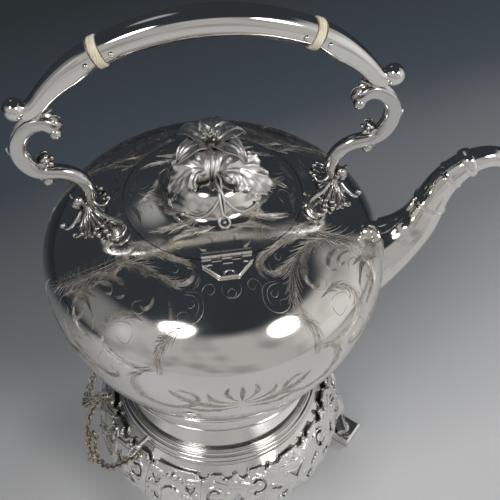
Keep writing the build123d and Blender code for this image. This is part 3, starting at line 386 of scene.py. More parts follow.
body_silver = polished_silver("body_silver", roughness=0.06, rub=0.06, dents=0.035)
body_line = smooth_line(BODY_LINE, 175)
body_skin = skin_of(body_line)
inner_line = body_line - body_skin[2] * BODY_WALL
inner_line[0, 0] = body_line[0, 0]
floor_z = body_line[-1, 1]
outline = [*body_line, (0, floor_z), (0, floor_z + BODY_WALL), *inner_line[::-1]]
body = weld(mesh_object("kettle_body_shell", turned(outline), body_silver))
belongs(body, "kettle", "kettle_body")


# Engraving on the body
# Acanthus scrolls cut by hand with a graver, in bundles of fine strokes that leave the handle mounts
# and meet round a plain reserve at the front.  The cuts are dull and a little brown with old polish.
STROKE_PITCH = 2.3
STROKE_WIDTH = 0.54
STROKE_RIDGE = 0.11
STROKE_SINK = 0.05
BUNDLE_STEPS = 60
BARB_STEP = 2.4
BARB_REACH = (9, 17)
CUT_DARK = (0.40, 0.36, 0.31)
CUT_PALE = (0.76, 0.715, 0.65)
CUT_GLOSS = (0.30, 0.48)
ACANTHUS_BUNDLES = [
    ([(55, 2), (55, 11), (58, 23), (63, 36), (68, 48), (75, 62)], (4, 10.7, 10.7, 8.8, 6.7, 2.1)),
    ([(50, 12), (44, 4.5), (34, 2.5), (24, 2.5), (18, 5), (15, 10), (17, 17)],
     (3.7, 3.7, 2.7, 2.2, 2.9, 2.4, 0.7)),
    ([(56, 20), (47, 14), (37, 14), (29, 20), (24, 29), (23, 38), (25, 48), (27, 60)],
     (2.7, 4.8, 5.4, 6.2, 5.9, 5.4, 4.5, 1.3)),
    ([(48, 15), (40, 16), (34, 22), (32, 28), (34, 33), (37, 31)], (1.8, 2.7, 2.7, 2.2, 1.7, 0.5)),
    ([(38, 13), (29, 15), (22, 15), (18, 10), (19, 5.5), (23, 5)], (1.2, 3.2, 3.7, 2.7, 2, 0.5)),
    ([(60, 7), (52, 3.6), (43, 1.9), (34, 1.5), (27, 1.8)], (4, 5.4, 4.6, 3, 0.6)),
    ([(62, 12), (70, 6), (78, 4), (86, 4.6)], (3, 4.4, 3.4, 0.6)),
    ([(17, 36), (22, 42), (25, 50), (25, 58), (24, 67)], (1.4, 5.2, 6.4, 4.6, 0.7)),
    ([(33, 39), (39, 38.5), (44, 44), (45.5, 53), (43, 61), (37, 65), (30, 65), (24, 60)],
     (1.2, 3.2, 4.3, 5.2, 4.6, 3.5, 2.6, 0.7)),
    ([(62, 34), (57, 29), (51, 26), (46, 27), (44, 32), (47, 34)], (2.2, 2.4, 2.2, 1.8, 1.4, 0.4)),
    ([(58, 35), (53, 31), (50, 31), (49, 34), (52, 35)], (1.5, 1.8, 1.3, 1.1, 0.3)),
    ([(27, 63), (32, 70), (33, 80), (31, 90), (26, 96), (19, 95), (14, 88), (14, 79), (18, 75), (21, 80)],
     (1.2, 3.2, 4.1, 4.1, 3.5, 2.9, 2.3, 1.9, 1.4, 0.4)),
    ([(66, 55), (61, 47), (56, 45), (52, 48)], (1.4, 2.9, 2.6, 0.6)),
    ([(56, 46), (55, 52), (57, 59)], (0.9, 2.6, 0.4)),
    ([(55, 46), (51, 49), (49, 56)], (0.9, 2.6, 0.4)),
    ([(53, 40), (59, 43), (60, 51), (56, 58), (48, 62)], (1.4, 3.2, 4.1, 3.2, 0.6)),
    ([(62, 66), (58, 74), (50, 80), (42, 82), (38, 76), (42, 72)], (0.9, 3.2, 4.1, 3.2, 2.0, 0.4)),
    ([(76, 58), (78, 70), (74, 82), (64, 88), (56, 90)], (1.2, 3.8, 4.3, 3.2, 0.6)),
    ([(44, 96), (48, 88), (56, 84), (62, 90)], (0.6, 2.6, 2.9, 0.4)),
    ([(0, 88), (0.2, 80), (0, 72)], (0.4, 2.4, 0.4)),
    ([(0.4, 88), (3.2, 83), (4.6, 76), (3.8, 71)], (0.4, 1.8, 2, 0.3)),
    ([(0.6, 89), (5.6, 87), (9.4, 82), (10.4, 76)], (0.4, 1.8, 2.2, 0.3)),
    ([(1, 91), (7, 91.5), (13, 88), (19, 82), (22, 76)], (0.4, 2.6, 3.6, 3, 0.3)),
    ([(1, 94), (7, 97), (13, 97.5), (18, 94)], (0.4, 2.2, 2.4, 0.3)),
]
SCROLL_LINES = [
    [(20, 19), (15, 18.5), (12, 25), (13, 32), (17, 35.8), (20.8, 34), (20.6, 30), (18, 29.5), (17.4, 32)],
    [(21, 20.5), (16.4, 20.5), (13.8, 25.5), (14.8, 31)],
    [(43, 50), (41, 44), (37, 43), (35, 48), (37, 54), (40, 52)],
    [(45, 66), (47, 61), (46, 57.5), (44, 60), (45, 69), (44, 77), (39, 80)],
    [(12, 22), (13, 17), (10, 13.5), (7.5, 16), (9.5, 19.5), (11, 17.5)],
    [(4, 14), (3.8, 19), (0, 21.8), (-1.8, 18.5), (1, 16.5)],
    [(22, 8), (21, 13), (24, 16), (26, 13), (24.4, 11)],
    [(30, 8), (27, 9.5), (26.5, 6.5), (29, 5.6)],
    [(36, 29), (39, 33), (36, 36.5), (34, 34), (36, 32.4)],
    [(19, 24), (17, 27), (15.6, 24.6), (17, 23)],
    [(10, 80), (16, 84), (14, 90), (9, 88), (10.4, 85)],
    [(52, 66), (56, 70), (53, 75), (49.6, 72), (51.6, 69.6)],
    [(66, 70), (70, 74), (67, 80), (62.6, 77), (65, 74)],
    [(63, 50), (66, 56), (64, 62), (60.6, 59.4), (62.4, 56)],
    [(50, 40), (54, 37), (56.6, 39.4), (54.4, 41.4)],
]


def skin_point(skin, turn, run, stand):
    """Point on a turned skin at an azimuth in degrees and a distance along it, and a stand-off."""
    line, runs, facing = skin
    radius = np.interp(run, runs, line[:, 0]) + stand * np.interp(run, runs, facing[:, 0])
    height = np.interp(run, runs, line[:, 1]) + stand * np.interp(run, runs, facing[:, 1])
    return radius * cos(radians(turn)), radius * sin(radians(turn)), height


def flattened(skin, line):
    """Radii of skin points, and the sideways direction of a line over them as if the skin were flat."""
    radii = np.interp(line[:, 1], skin[1], skin[0][:, 0])
    flat = np.stack([np.radians(line[:, 0]) * radii, line[:, 1]], axis=1)
    heading = np.gradient(flat, axis=0)
    heading /= np.maximum(np.linalg.norm(heading, axis=1), 1e-9)[:, None]
    return radii, flat, np.stack([-heading[:, 1], heading[:, 0]], axis=1)


def stroke(skin, line, width):
    """One tapered graver stroke along (azimuth, distance) points: a low ridge with pointed ends."""
    line = np.array(line)
    radii, _, aside = flattened(skin, line)
    vertices = []
    last = len(line) - 1
    for i, (turn, run) in enumerate(line):
        half = width / 2 * max(sin(pi * (i + 0.25) / (last + 0.5)), 0.08) ** 0.6
        for off, stand in ((-half, -STROKE_SINK), (0, STROKE_RIDGE), (half, -STROKE_SINK)):
            turn_off = np.degrees(aside[i, 0] * off / radii[i])
            vertices.append(skin_point(skin, turn + turn_off, run + aside[i, 1] * off, stand))
    faces = skin_faces(last + 1, 3) + [(0, 2, 1), (3 * last, 3 * last + 1, 3 * last + 2)]
    return vertices, faces


def joined(shapes):
    """Several (vertices, faces) shapes as one."""
    vertices, faces = [], []
    for points, corners in shapes:
        first = len(vertices)
        vertices += [tuple(p) for p in points]
        faces += [tuple(first + corner for corner in face) for face in corners]
    return vertices, faces


chance = np.random.default_rng(11)


def acanthus(skin, spine, widths):
    """Strokes of one leaf bundle: veins along its spine and barbs that sweep out to its edge."""
    line = smooth_line(spine, BUNDLE_STEPS)
    half_widths = np.interp(np.linspace(0, len(widths) - 1, BUNDLE_STEPS + 1), range(len(widths)), widths)
    radii, flat, aside = flattened(skin, line)
    length = np.linalg.norm(np.diff(flat, axis=0), axis=1).sum()

    def barb(begin, end, first, last, bend, width=STROKE_WIDTH):
        points = []
        for share in np.linspace(0, 1, max(int((end - begin) * length / BARB_STEP), 5)):
            i = (begin + (end - begin) * share) * BUNDLE_STEPS
            turn, run, half, over, down, radius = [
                np.interp(i, range(BUNDLE_STEPS + 1), column)
                for column in (line[:, 0], line[:, 1], half_widths, aside[:, 0], aside[:, 1], radii)
            ]
            off = (first + (last - first) * share**bend) * half
            points.append((turn + np.degrees(off * over / radius), run + off * down))
        return stroke(skin, points, width)

    shapes = [barb(0.0, 1.0, 0.0, 0.0, 1.0, STROKE_WIDTH * 1.3)]
    for side in (-1, 1):
        shapes.append(barb(0.02, 0.93, side * 0.25, side * 0.42, 1.0))
        barbs = max(int(length / STROKE_PITCH), 4)
        for number in range(barbs):
            begin = max(0.88 * number / barbs - 0.04 + chance.uniform(-0.01, 0.01), 0)
            reach = min(chance.uniform(*BARB_REACH) / length, 0.97 - begin)
            lobe = 0.72 + 0.36 * abs(sin(pi * number / 4.0))
            shapes.append(barb(begin, begin + reach, side * 0.10, side * lobe, 1.6))
    return shapes


def engraved(skin, bundles, scrolls, steps, width):
    """An engraved pattern, mirrored about the front and repeated at the back."""
    strokes = []
    for facing in (-90, 90):
        for side in (-1, 1):
            for spine, widths in bundles:
                spine = [(facing + side * turn, run) for turn, run in spine]
                strokes += acanthus(skin, spine, widths)
            for points in scrolls:
                line = smooth_line([(facing + side * turn, run) for turn, run in points], steps)
                strokes.append(stroke(skin, line, width))
    return joined(strokes)


graver_cut, tree, shader = new_material("engraved_silver", 1.0)
grain = pattern(tree, "Noise", places(tree), 420.0, 3.0)
tinted(tree, shader, grain, [(0.3, CUT_DARK), (0.7, CUT_PALE)])
tree.links.new(stretched(tree, grain, 0.0, 1.0, *CUT_GLOSS), shader.inputs["Roughness"])

strokes = engraved(body_skin, ACANTHUS_BUNDLES, SCROLL_LINES, 26, STROKE_WIDTH * 1.25)
engraving = mesh_object("body_engraving", strokes, graver_cut, 60)
belongs(engraving, "kettle")


# Lid
# A disc spun from one sheet that carries the body's curve on to a bell-shaped dome, with a narrow
# shut line round it.  Its seat ring, its bezel and the nut of the finial are plain.
LID_LINE = [
    (0.0, 333.5), (6.5, 333.2), (13.0, 332.2), (18.8, 330.2), (22.6, 327.4), (24.9, 323.8), (26.4, 320.2),
    (28.6, 316.8), (32.0, 314.5), (36.5, 313.2), (41.0, 312.2), (46.0, 311.0), (51.2, 309.6),
]
LID_SHEET = 1.4
LID_BUNDLES = [
    ([(3, 36), (14, 33), (30, 37), (44, 46), (58, 56)], (1, 3.4, 4.6, 4, 0.8)),
    ([(5, 40), (18, 42), (32, 47), (40, 55)], (0.8, 2.8, 3.2, 0.6)),
    ([(46, 36), (60, 39), (76, 38), (88, 43), (97, 52)], (0.8, 3, 4.4, 4, 0.6)),
    ([(62, 57), (74, 54), (86, 56)], (0.6, 2.4, 0.4)),
    ([(20, 52), (13, 55), (8, 52), (10, 47), (15, 48)], (0.5, 1.6, 1.6, 1, 0.3)),
]
LID_SCROLLS = [
    [(40, 54), (36, 50), (30, 52), (30, 56), (34, 56.4)],
    [(66, 50), (72, 46), (80, 48), (78, 52), (73, 51.6)],
    [(14, 44), (10, 48), (5, 47), (6, 42), (10, 43)],
]

lid_silver = polished_silver("lid_silver", roughness=0.09, rub=0.08, dents=0.05)
lid_line = smooth_line(LID_LINE, 96)
lid_line[0, 0] = 0.0
lid_skin = skin_of(lid_line)
lid_inner = lid_line - lid_skin[2] * LID_SHEET
lid_inner[0, 0] = 0.0
lid_inner[-1, 0] = lid_line[-1, 0]
lid = weld(mesh_object("lid_shell", turned([*lid_line, *lid_inner[::-1]]), lid_silver))
belongs(lid, "lid_body", "lid")

strokes = engraved(lid_skin, LID_BUNDLES, LID_SCROLLS, 22, STROKE_WIDTH)
lid_engraving = mesh_object("lid_engraving", strokes, graver_cut, 60)
belongs(lid_engraving, "lid_body")


# Lid hinge
# A cast five-knuckle hinge: a tapered plate on the body with a raised bevelled border and a small
# half-round boss at its foot, and a shorter plate on the lid.  Both are soldered on.
PLATE_CORNERS = [(-13.3, -54.0), (-5.0, -61.6), (5.0, -61.6), (13.3, -54.0)]
PLATE_STAND = 1.9
PLATE_BOSS_Y = -60.6
PLATE_BOSS = (3.0, 2.2)
UPPER_POINTS = 100
BORDER_HALF = 0.85


def swept(centres, outline_at, side=(0, 1, 0), round_trip=False):
    """Bar swept along centre points; outline_at(share) gives its (side, rise) outline there."""
    centres = np.array(centres, float)
    count = len(centres)
    if round_trip:
        ahead = np.roll(centres, -1, axis=0) - np.roll(centres, 1, axis=0)
    else:
        ahead = np.gradient(centres, axis=0)
    ahead /= np.linalg.norm(ahead, axis=1)[:, None]
    over = np.array(side, float)
    vertices = []
    for i in range(count):
        over = over - ahead[i] * np.dot(over, ahead[i])
        over /= np.linalg.norm(over)
        rise = np.cross(over, ahead[i])
        outline = outline_at(i / (count - 1))
        vertices += [tuple(centres[i] + over * a + rise * b) for a, b in outline]
    around = len(outline)
    faces = skin_faces(count, around, round_trip)
    if not round_trip:
        faces.append(tuple(range(around))[::-1])
        faces.append(tuple(range((count - 1) * around, count * around)))
    return vertices, faces


def oval(half_side, half_rise, steps=16):
    """Outline of an oval section."""
    return [(half_side * cos(2 * pi * i / steps), half_rise * sin(2 * pi * i / steps)) for i in range(steps)]


def disc(radius, steps):
    """Outline of a round section."""
    return oval(radius, radius, steps)


def body_top(x, y, stand=0.0):
    """Point of the body's upper half above a place, stood off from the surface."""
    line, runs, _ = body_skin
    run = np.interp(hypot(x, y), line[:UPPER_POINTS, 0], runs[:UPPER_POINTS])
    return np.array(skin_point(body_skin, np.degrees(atan2(y, x)), run, stand))


bright = polished_silver("bright_castings", roughness=0.07, rub=0.08)
border_line = []
for (x0, y0), (x1, y1) in zip(PLATE_CORNERS, PLATE_CORNERS[1:]):
    for share in np.linspace(0, 1, 12, endpoint=False):
        border_line.append(body_top(x0 + (x1 - x0) * share, y0 + (y1 - y0) * share, PLATE_STAND))
border_line.append(body_top(*PLATE_CORNERS[-1], PLATE_STAND))
border = swept(border_line, lambda share: oval(BORDER_HALF, 0.55, 10), side=(0, 0, 1))
boss_line = []
for turn in np.linspace(0, pi, 12):
    boss_x, boss_y = PLATE_BOSS[0] * cos(turn), PLATE_BOSS_Y + PLATE_BOSS[1] * sin(turn)
    boss_line.append(body_top(boss_x, boss_y, PLATE_STAND))
boss = swept(boss_line, lambda share: disc(0.5, 8), side=(0, 0, 1))
hinge_border = mesh_object("hinge_plate_border", joined([border, boss]), bright, 50)
belongs(hinge_border, "kettle")


# Spout
# A swan neck raised from two halves and soldered up.  Long pointed leaves are chased on its sides,
# a thin band crosses it halfway, and a pointed leaf collar stands round it before the mouth.
SPOUT_LINE = [
    (90.0, 232.0, 26.0), (103.0, 240.0, 23.0), (114.5, 247.5, 18.8), (125.0, 257.5, 14.6),
    (132.5, 270.5, 11.8), (137.0, 287.0, 9.8), (144.5, 302.5, 8.6), (156.0, 312.5, 7.4),
    (167.0, 314.6, 6.4), (177.0, 312.0, 5.9), (186.0, 307.5, 5.6),
]
SPOUT_WALL = 1.3
SPOUT_STEPS = 170
SPOUT_START = 8
SPOUT_SIDES = 72
SPOUT_LEAVES = [
    (0.02, 0.62, 0.0, 0.62), (0.02, 0.55, 1.57, 0.60), (0.02, 0.60, 3.14, 0.62), (0.02, 0.55, 4.71, 0.60),
]
SPOUT_BANDS = [(0.515, 0.55, 0.9), (0.675, 0.35, 0.7)]


def spout_relief(share, turn):
    """Raised height of leaves and bands at a share of the length and an angle round it."""
    height = 0.0
    for begin, end, middle, half in SPOUT_LEAVES:
        if begin < share < end:
            along = (share - begin) / (end - begin)
            width = half * (1 - along**2.2)
            off = abs((turn - middle + pi) % (2 * pi) - pi)
            if off < width:
                edge = min((width - off) / 0.10, 1.0)
                slope = 1 - 0.45 * off / max(width, 0.01)
                height = max(height, 0.75 * edge * slope + 0.35 * exp(-(off / 0.05) ** 2))
    for middle, half, tilt in SPOUT_BANDS:
        band = share - middle - 0.012 * tilt * cos(turn)
        height += 0.9 * exp(-(band / 0.006) ** 2)
    return height


spout_line = smooth_line(SPOUT_LINE, SPOUT_STEPS)


def spout_at(share):
    """Place (x, z) and radius at a share of the spout's length."""
    return [np.interp(share, np.linspace(0, 1, SPOUT_STEPS + 1), column) for column in spout_line.T]


def round_section(radius_at):
    """Section whose radius changes with the angle."""
    turns = [2 * pi * i / SPOUT_SIDES for i in range(SPOUT_SIDES)]
    return [(radius_at(turn) * cos(turn), radius_at(turn) * sin(turn)) for turn in turns]


def spout_section(share):
    """Section of the spout with its chased relief."""
    share = (share * (SPOUT_STEPS - SPOUT_START) + SPOUT_START) / SPOUT_STEPS
    radius = spout_at(share)[2]
    return round_section(lambda turn: radius + spout_relief(share, turn))


def spout_bore(share):
    """Round section of the spout's inside."""
    share = (share * (SPOUT_STEPS - SPOUT_START) + SPOUT_START) / SPOUT_STEPS
    radius = spout_at(share)[2] - SPOUT_WALL
    return oval(radius, radius, SPOUT_SIDES)


spout_centres = [(x, 0.0, z) for x, z, radius in spout_line[SPOUT_START:]]
outer_vertices, outer_faces = swept(spout_centres, spout_section)
inner_vertices, inner_faces = swept(spout_centres, spout_bore)
first = len(outer_vertices)
shell_faces = outer_faces[:-2] + [tuple(first + i for i in face[::-1]) for face in inner_faces[:-2]]
last_row = first - SPOUT_SIDES
for i in range(SPOUT_SIDES):
    j = (i + 1) % SPOUT_SIDES
    shell_faces.append((last_row + i, last_row + j, first + last_row + j, first + last_row + i))
    shell_faces.append((i, first + i, first + j, j))
spout_silver = polished_silver("spout_silver", roughness=0.05, rub=0.06)
spout = mesh_object("spout_shell", (outer_vertices + inner_vertices, shell_faces), spout_silver, 50)
belongs(spout, "kettle", "spout")

COLLAR_SHARE = 0.762
COLLAR_HALF = 0.022


def collar_place(share):
    """Share of the spout's length at a share of the collar's."""
    return COLLAR_SHARE + (share - 0.5) * 2 * COLLAR_HALF


def collar_section(share):
    """Section of the leaf collar, which swells and is scalloped into points."""
    radius = spout_at(collar_place(share))[2]
    swell = 0.35 + 1.55 * sin(pi * min(max(share, 0.0), 1.0)) ** 0.6
    return round_section(lambda turn: radius + swell * (0.86 + 0.14 * cos(6 * turn)))


collar_spots = [spout_at(collar_place(share)) for share in np.linspace(0, 1, 17)]
collar_centres = [(x, 0.0, z) for x, z, radius in collar_spots]
collar = mesh_object("spout_leaf_collar", swept(collar_centres, collar_section), bright, 50)
belongs(collar, "kettle", "spout_collar")


# Handle
# The middle is a hollow arch between two ivory rings, with a ridge along each side.  The ends taper
# to balls and are channelled on top.  Pins through their sockets show as small round heads.
GRIP_MID_Z = 419.6
GRIP_HALF_WIDTH = 8.0
GRIP_HALF_DEPTH = 7.6
RING_X = 52.4
RING_Z = 408.3
RING_WIDTH = 4.4
RING_GAP = 0.25
GRIP_OUTLINE = [
    (0.0, 1.0), (0.28, 0.97), (0.52, 0.86), (0.70, 0.68), (0.76, 0.60), (0.84, 0.52), (0.95, 0.26),
    (1.0, -0.05), (0.96, -0.38), (0.82, -0.66), (0.60, -0.86), (0.34, -0.96), (0.0, -1.0),
]
HORN_OUTLINE = [
    (0.0, 0.56), (0.34, 0.58), (0.52, 0.72), (0.62, 0.96), (0.78, 1.0), (0.92, 0.82), (1.0, 0.40),
    (1.0, -0.05), (0.90, -0.45), (0.70, -0.75), (0.40, -0.95), (0.0, -1.0),
]
LEAFLET_SHEET = 0.7
SCROLL_OUTLINE = [
    (0.0, 0.62), (0.30, 0.66), (0.50, 0.86), (0.66, 1.0), (0.86, 0.90), (1.0, 0.45), (1.0, 0.0),
    (0.92, -0.42), (0.70, -0.76), (0.40, -0.95), (0.0, -1.0),
]


def arc(start, end, count):
    """Points on the right-hand half of a unit circle, between shares of the way from its top."""
    return [(sin(turn), cos(turn)) for turn in np.linspace(pi * start, pi * end, count)]


def unit_outline(half, corner, upper, lower):
    """Closed outline from its right-hand half, smooth above and below one corner."""
    line = smooth_line(half[:corner], upper).tolist() + smooth_line(half[corner:], lower).tolist()
    return line + [(-a, b) for a, b in line[-2:0:-1]]


def shaped(outline, half_side, half_rise, turn_over=1):
    """A unit outline stretched to half sizes."""
    return [(a * half_side, turn_over * b * half_rise) for a, b in outline]


def blended(first, second, share):
    """Outline part way between two with the same number of corners."""
    return [(a + (c - a) * share, b + (d - b) * share) for (a, b), (c, d) in zip(first, second)]


def ball(centre, radius, rows=14, columns=22):
    """Round bead."""
    vertices = []
    for row in range(rows + 1):
        lean = pi * row / rows
        out, up = radius * sin(lean), radius * cos(lean)
        for column in range(columns):
            turn = 2 * pi * column / columns
            vertices.append((centre[0] + out * cos(turn), centre[1] + out * sin(turn), centre[2] + up))
    return vertices, [face[::-1] for face in skin_faces(rows + 1, columns)]


grip_unit = unit_outline(GRIP_OUTLINE, 4, 10, 22)
grip_silver = polished_silver("grip_silver", roughness=0.04, rub=0.05)
half_span = RING_X - RING_WIDTH / 2 - RING_GAP


def grip_section(share):
    """Section of the grip, slightly thinner at its ends."""
    thin = 1 - 0.08 * (2 * share - 1) ** 2
    return shaped(grip_unit, GRIP_HALF_WIDTH * thin, GRIP_HALF_DEPTH * thin)


grip_centres = []
for x in np.linspace(-half_span, half_span, 90):
    grip_centres.append((x, 0, GRIP_MID_Z - (GRIP_MID_Z - RING_Z) * (x / RING_X) ** 2))
grip = mesh_object("handle_grip_arch", swept(grip_centres, grip_section), grip_silver, 30)
belongs(grip, "kettle", "handle_grip")

HORN_LINE = [
    (54.9, 407.2, 7.0, 7.5), (60.0, 404.4, 6.8, 7.3), (66.5, 400.3, 6.2, 6.6), (75.0, 393.8, 5.3, 5.8),
    (82.5, 386.4, 4.7, 5.1), (88.6, 380.2, 4.3, 4.5), (93.4, 378.0, 3.9, 4.0),
]
HORN_BALL = (96.6, 0.0, 380.0)
HORN_BALL_RADIUS = 5.9
horn_unit = unit_outline(HORN_OUTLINE, 5, 14, 14)
plain_unit = unit_outline(arc(0, 0.30, 5) + arc(0.34, 1, 8), 5, 14, 14)
SCROLL_LINE = [
    (79.2, 366.4, 4.2, 4.4), (84.2, 370.2, 4.3, 4.2), (91.3, 369.0, 4.2, 4.0), (97.4, 362.6, 4.4, 4.0),
    (99.4, 354.0, 4.6, 4.1), (96.6, 345.0, 4.5, 4.2), (89.5, 339.2, 4.3, 4.3), (81.4, 337.4, 4.4, 4.2),
    (74.0, 333.6, 4.3, 4.1), (69.3, 327.0, 4.0, 3.9), (68.0, 319.4, 3.3, 3.4), (69.4, 312.6, 2.6, 2.8),
]
SCROLL_BEADS = [
    (79.2, 2.4, 365.2, 3.4), (79.2, -2.4, 365.2, 3.4), (77.6, 0, 368.2, 2.6), (88.0, 0, 345.4, 3.2),
    (84.8, 2.4, 345.6, 1.5), (84.8, -2.4, 345.6, 1.5), (88.6, 0, 332.4, 3.1), (91.4, 0, 334.8, 1.9),
    (75.2, 0, 315.2, 3.3), (87.4, 0, 375.2, 3.5), (84.6, 0, 374.6, 2.0),
]
SCROLL_LEAVES = [
    ((82, 2.0, 371), (75.4, 3.6, 369.0), 2.2, (0, 0.6, 1.4), -1.2),
    ((82, -2.0, 371), (75.4, -3.6, 369.0), 2.2, (0, -0.6, 1.4), -1.2),
    ((98, 0, 350), (104.6, 0, 357.5), 2.4, (1.2, 0, -0.8), 1.0),
    ((92, 2.2, 343), (86.2, 4.6, 347.6), 2.2, (0, 1.2, 0.8), 0.8),
    ((92, -2.2, 343), (86.2, -4.6, 347.6), 2.2, (0, -1.2, 0.8), 0.8),
    ((93, 0, 343), (87.4, 0, 350.4), 2.4, (-1.0, 0, 0.6), 1.0),
    ((85, 0, 374), (78.4, 0, 377.2), 2.2, (0, 0, 1.0), 0.5),
]
scroll_unit = unit_outline(SCROLL_OUTLINE, 4, 12, 14)
scroll_round = unit_outline(arc(0, 0.27, 5) + arc(0.31, 1, 8), 5, 12, 14)


def mirrored(shape, side):
    """A shape, or its mirror image across the handle's middle."""
    vertices, faces = shape
    if side > 0:
        return shape
    return [(-x, y, z) for x, y, z in vertices], [tuple(face)[::-1] for face in faces]


def horn():
    """Channelled end of the handle, with its ball."""
    line = smooth_line(HORN_LINE, 60)
    centres = [(x, 0, z) for x, z, depth, width in line]

    def section(share):
        depth, width = line[int(round(share * 60))][2:]
        unit = blended(plain_unit, horn_unit, min(share / 0.3, 1.0))
        return shaped(unit, width, depth)

    return joined([swept(centres, section), ball(HORN_BALL, HORN_BALL_RADIUS, 28, 44)])


def two_sided(top, under, rows, columns, turned_over=False):
    """Thin casting between two grids of points, closed round its rim."""
    width, count = columns + 1, len(top)
    faces = []
    for a in (row * width + column for row in range(rows) for column in range(columns)):
        faces.append((a, a + width, a + width + 1, a + 1))
        faces.append((count + a, count + a + 1, count + a + width + 1, count + a + width))
    rim = list(range(width)) + [row * width + columns for row in range(1, rows + 1)]
    rim += [rows * width + column for column in range(columns - 1, -1, -1)]
    rim += [row * width for row in range(rows - 1, 0, -1)]
    faces += [(a, b, count + b, count + a) for a, b in zip(rim, rim[1:] + rim[:1])]
    if turned_over:
        faces = [face[::-1] for face in faces]
    return [tuple(point) for point in [*top, *under]], faces


def leaflet(root, tip, side_half, lift, curl):
    """Small pointed leaf from root to tip, arched by lift, with a central rib."""
    root, tip, lift = np.array(root, float), np.array(tip, float), np.array(lift, float)
    across_leaf = np.cross(tip - root, lift)
    across_leaf /= np.linalg.norm(across_leaf)
    facing_leaf = np.cross(across_leaf, tip - root)
    facing_leaf /= np.linalg.norm(facing_leaf)
    top, under = [], []
    rows, columns = 12, 8
    for row in range(rows + 1):
        share = row / rows
        spine = root + (tip - root) * share + lift * sin(pi * share) + facing_leaf * curl * share**3
        half = side_half * sin(pi * (0.06 + 0.94 * share)) ** 0.7 * (1 + 0.10 * cos(7 * pi * share))
        for column in range(columns + 1):
            over = 2 * column / columns - 1
            rib = 0.5 * exp(-(over / 0.22) ** 2) - 0.5 * (1 - abs(over)) + 0.9 * abs(over) ** 2
            point = spine + across_leaf * half * over + facing_leaf * rib * 0.7
            top.append(point + facing_leaf * LEAFLET_SHEET / 2)
            under.append(point - facing_leaf * LEAFLET_SHEET / 2)
    return two_sided(top, under, rows, columns, turned_over=True)


def scroll():
    """C-scroll with rolled leaf ends that runs on into a plain S-scroll."""
    line = smooth_line(SCROLL_LINE, 150)
    centres = [(x, 0, z) for x, z, depth, width in line]

    def section(share):
        depth, width = line[int(round(share * 150))][2:]
        channel = min(max((0.60 - share) / 0.10, 0.0), 1.0)
        return shaped(blended(scroll_round, scroll_unit, channel), width, depth, -1)

    shapes = [swept(centres, section)]
    shapes += [ball((x, y, z), radius) for x, y, z, radius in SCROLL_BEADS]
    return joined(shapes + [leaflet(*leaf) for leaf in SCROLL_LEAVES])


OXIDE_AND_SHADE = (0.13, 0.105, 0.08)
HALF_SHADED_HALF_CLEAN = (0.50, 0.46, 0.40)
SPECK_SCALE = 160.0


def cast_silver(name, roughness=0.16, recess_oxide_and_shade=OXIDE_AND_SHADE, reach=2.6, crest=SILVER):
    """Cast and chased silver: bright on its ridges, with brown oxide and painted shade in the hollows."""
    material, tree, shader = new_material(name, 1.0)
    hollow = tree.nodes.new("ShaderNodeAmbientOcclusion")
    hollow.samples = 8
    hollow.inputs["Distance"].default_value = reach * MM
    speck = pattern(tree, "Noise", places(tree), SPECK_SCALE, 5.0)
    # Painted shade: the ambient occlusion mask darkens the colour towards the oxide tone in hollows, so they
    # hold painted shade as well as real oxide.
    open_share = arithmetic(tree, "MULTIPLY_ADD", speck, 0.24, hollow.outputs["AO"])
    tinted(tree, shader, open_share, [(0.45, recess_oxide_and_shade), (0.78, HALF_SHADED_HALF_CLEAN), (1.0, crest)])
    tree.links.new(stretched(tree, open_share, 0.5, 1.0, 0.45, roughness), shader.inputs["Roughness"])
    return material


# Painted shade: on the cast scrolls and mounts an ambient occlusion mask darkens the hollows along with their
# oxide.
HANDLE_CREST = (0.70, 0.69, 0.675)
handle_castings = cast_silver("handle_castings", crest=HANDLE_CREST)
for side, word in ((1, "right"), (-1, "left")):
    end = mesh_object("handle_horn_" + word, mirrored(horn(), side), grip_silver, 40)
    belongs(end, "kettle", "handle_end_" + word)
    curve = mesh_object("handle_c_scroll_" + word, mirrored(scroll(), side), handle_castings, 45)
    belongs(curve, "kettle", "handle_scroll_" + word)


# Handle mounts
# A cast fan of narrow fluted leaves spreads over the body under each end of the handle, with beads
# on its tips, a bud on the outer side and curled tendrils towards the lid.  They are soldered on.
MOUNT_X = 69.6
MOUNT_REACH = 16.5
MOUNT_FLUTES = 14
MOUNT_NARROWING = 0.52
MOUNT_STEPS = 224
MOUNT_SINK = 0.4
MOUNT_INNER_EDGE = 52.0
MOUNT_ROWS = [
    (0.10, 13.0), (0.26, 12.4), (0.30, 11.0), (0.24, 9.6), (0.27, 8.4), (0.34, 6.9), (0.45, 5.1),
    (0.60, 3.5), (0.76, 2.3), (0.90, 1.7), (1.0, 1.5),
]
MOUNT_TENDRILS = [
    ([(66, -6, 312.5), (61, -11, 311.5), (55.5, -15.5, 312.0), (51.5, -20.0, 312.4),
      (53.0, -25.0, 310.6), (58.5, -26.0, 308.6), (60.4, -22.6, 308.4)], 1.7, 2.0),
    ([(72, 8, 306), (72.5, 13, 305.2), (69.6, 18, 305.6), (64.8, 19.4, 307), (63.4, 16.4, 307.6)], 1.3, 1.7),
    ([(67, -1.5, 314.5), (63.6, -3.6, 313.4), (60.4, -3.0, 313.8), (58.8, -0.4, 315.4)], 1.4, 1.5),
    ([(75, -3, 309), (80.0, -7.0, 304.0), (84.0, -7.6, 301.5), (86.0, -4.4, 301.6)], 1.3, 2.0),
]
MOUNT_BUD = (76.6, 3.6, 309.8)
MOUNT_BUD_RADIUS = 3.7
MOUNT_BUD_LEAF = ((75.6, 3.4, 311), (79.0, 5.0, 316.5), 1.8, (0.6, 0, 0.6), 0.8)
MOUNT_BERRIES = [(66.5, -14.0, 2.0), (63.2, -13.4, 1.5), (61.6, -17.4, 1.8), (65.6, -18.6, 1.7)]


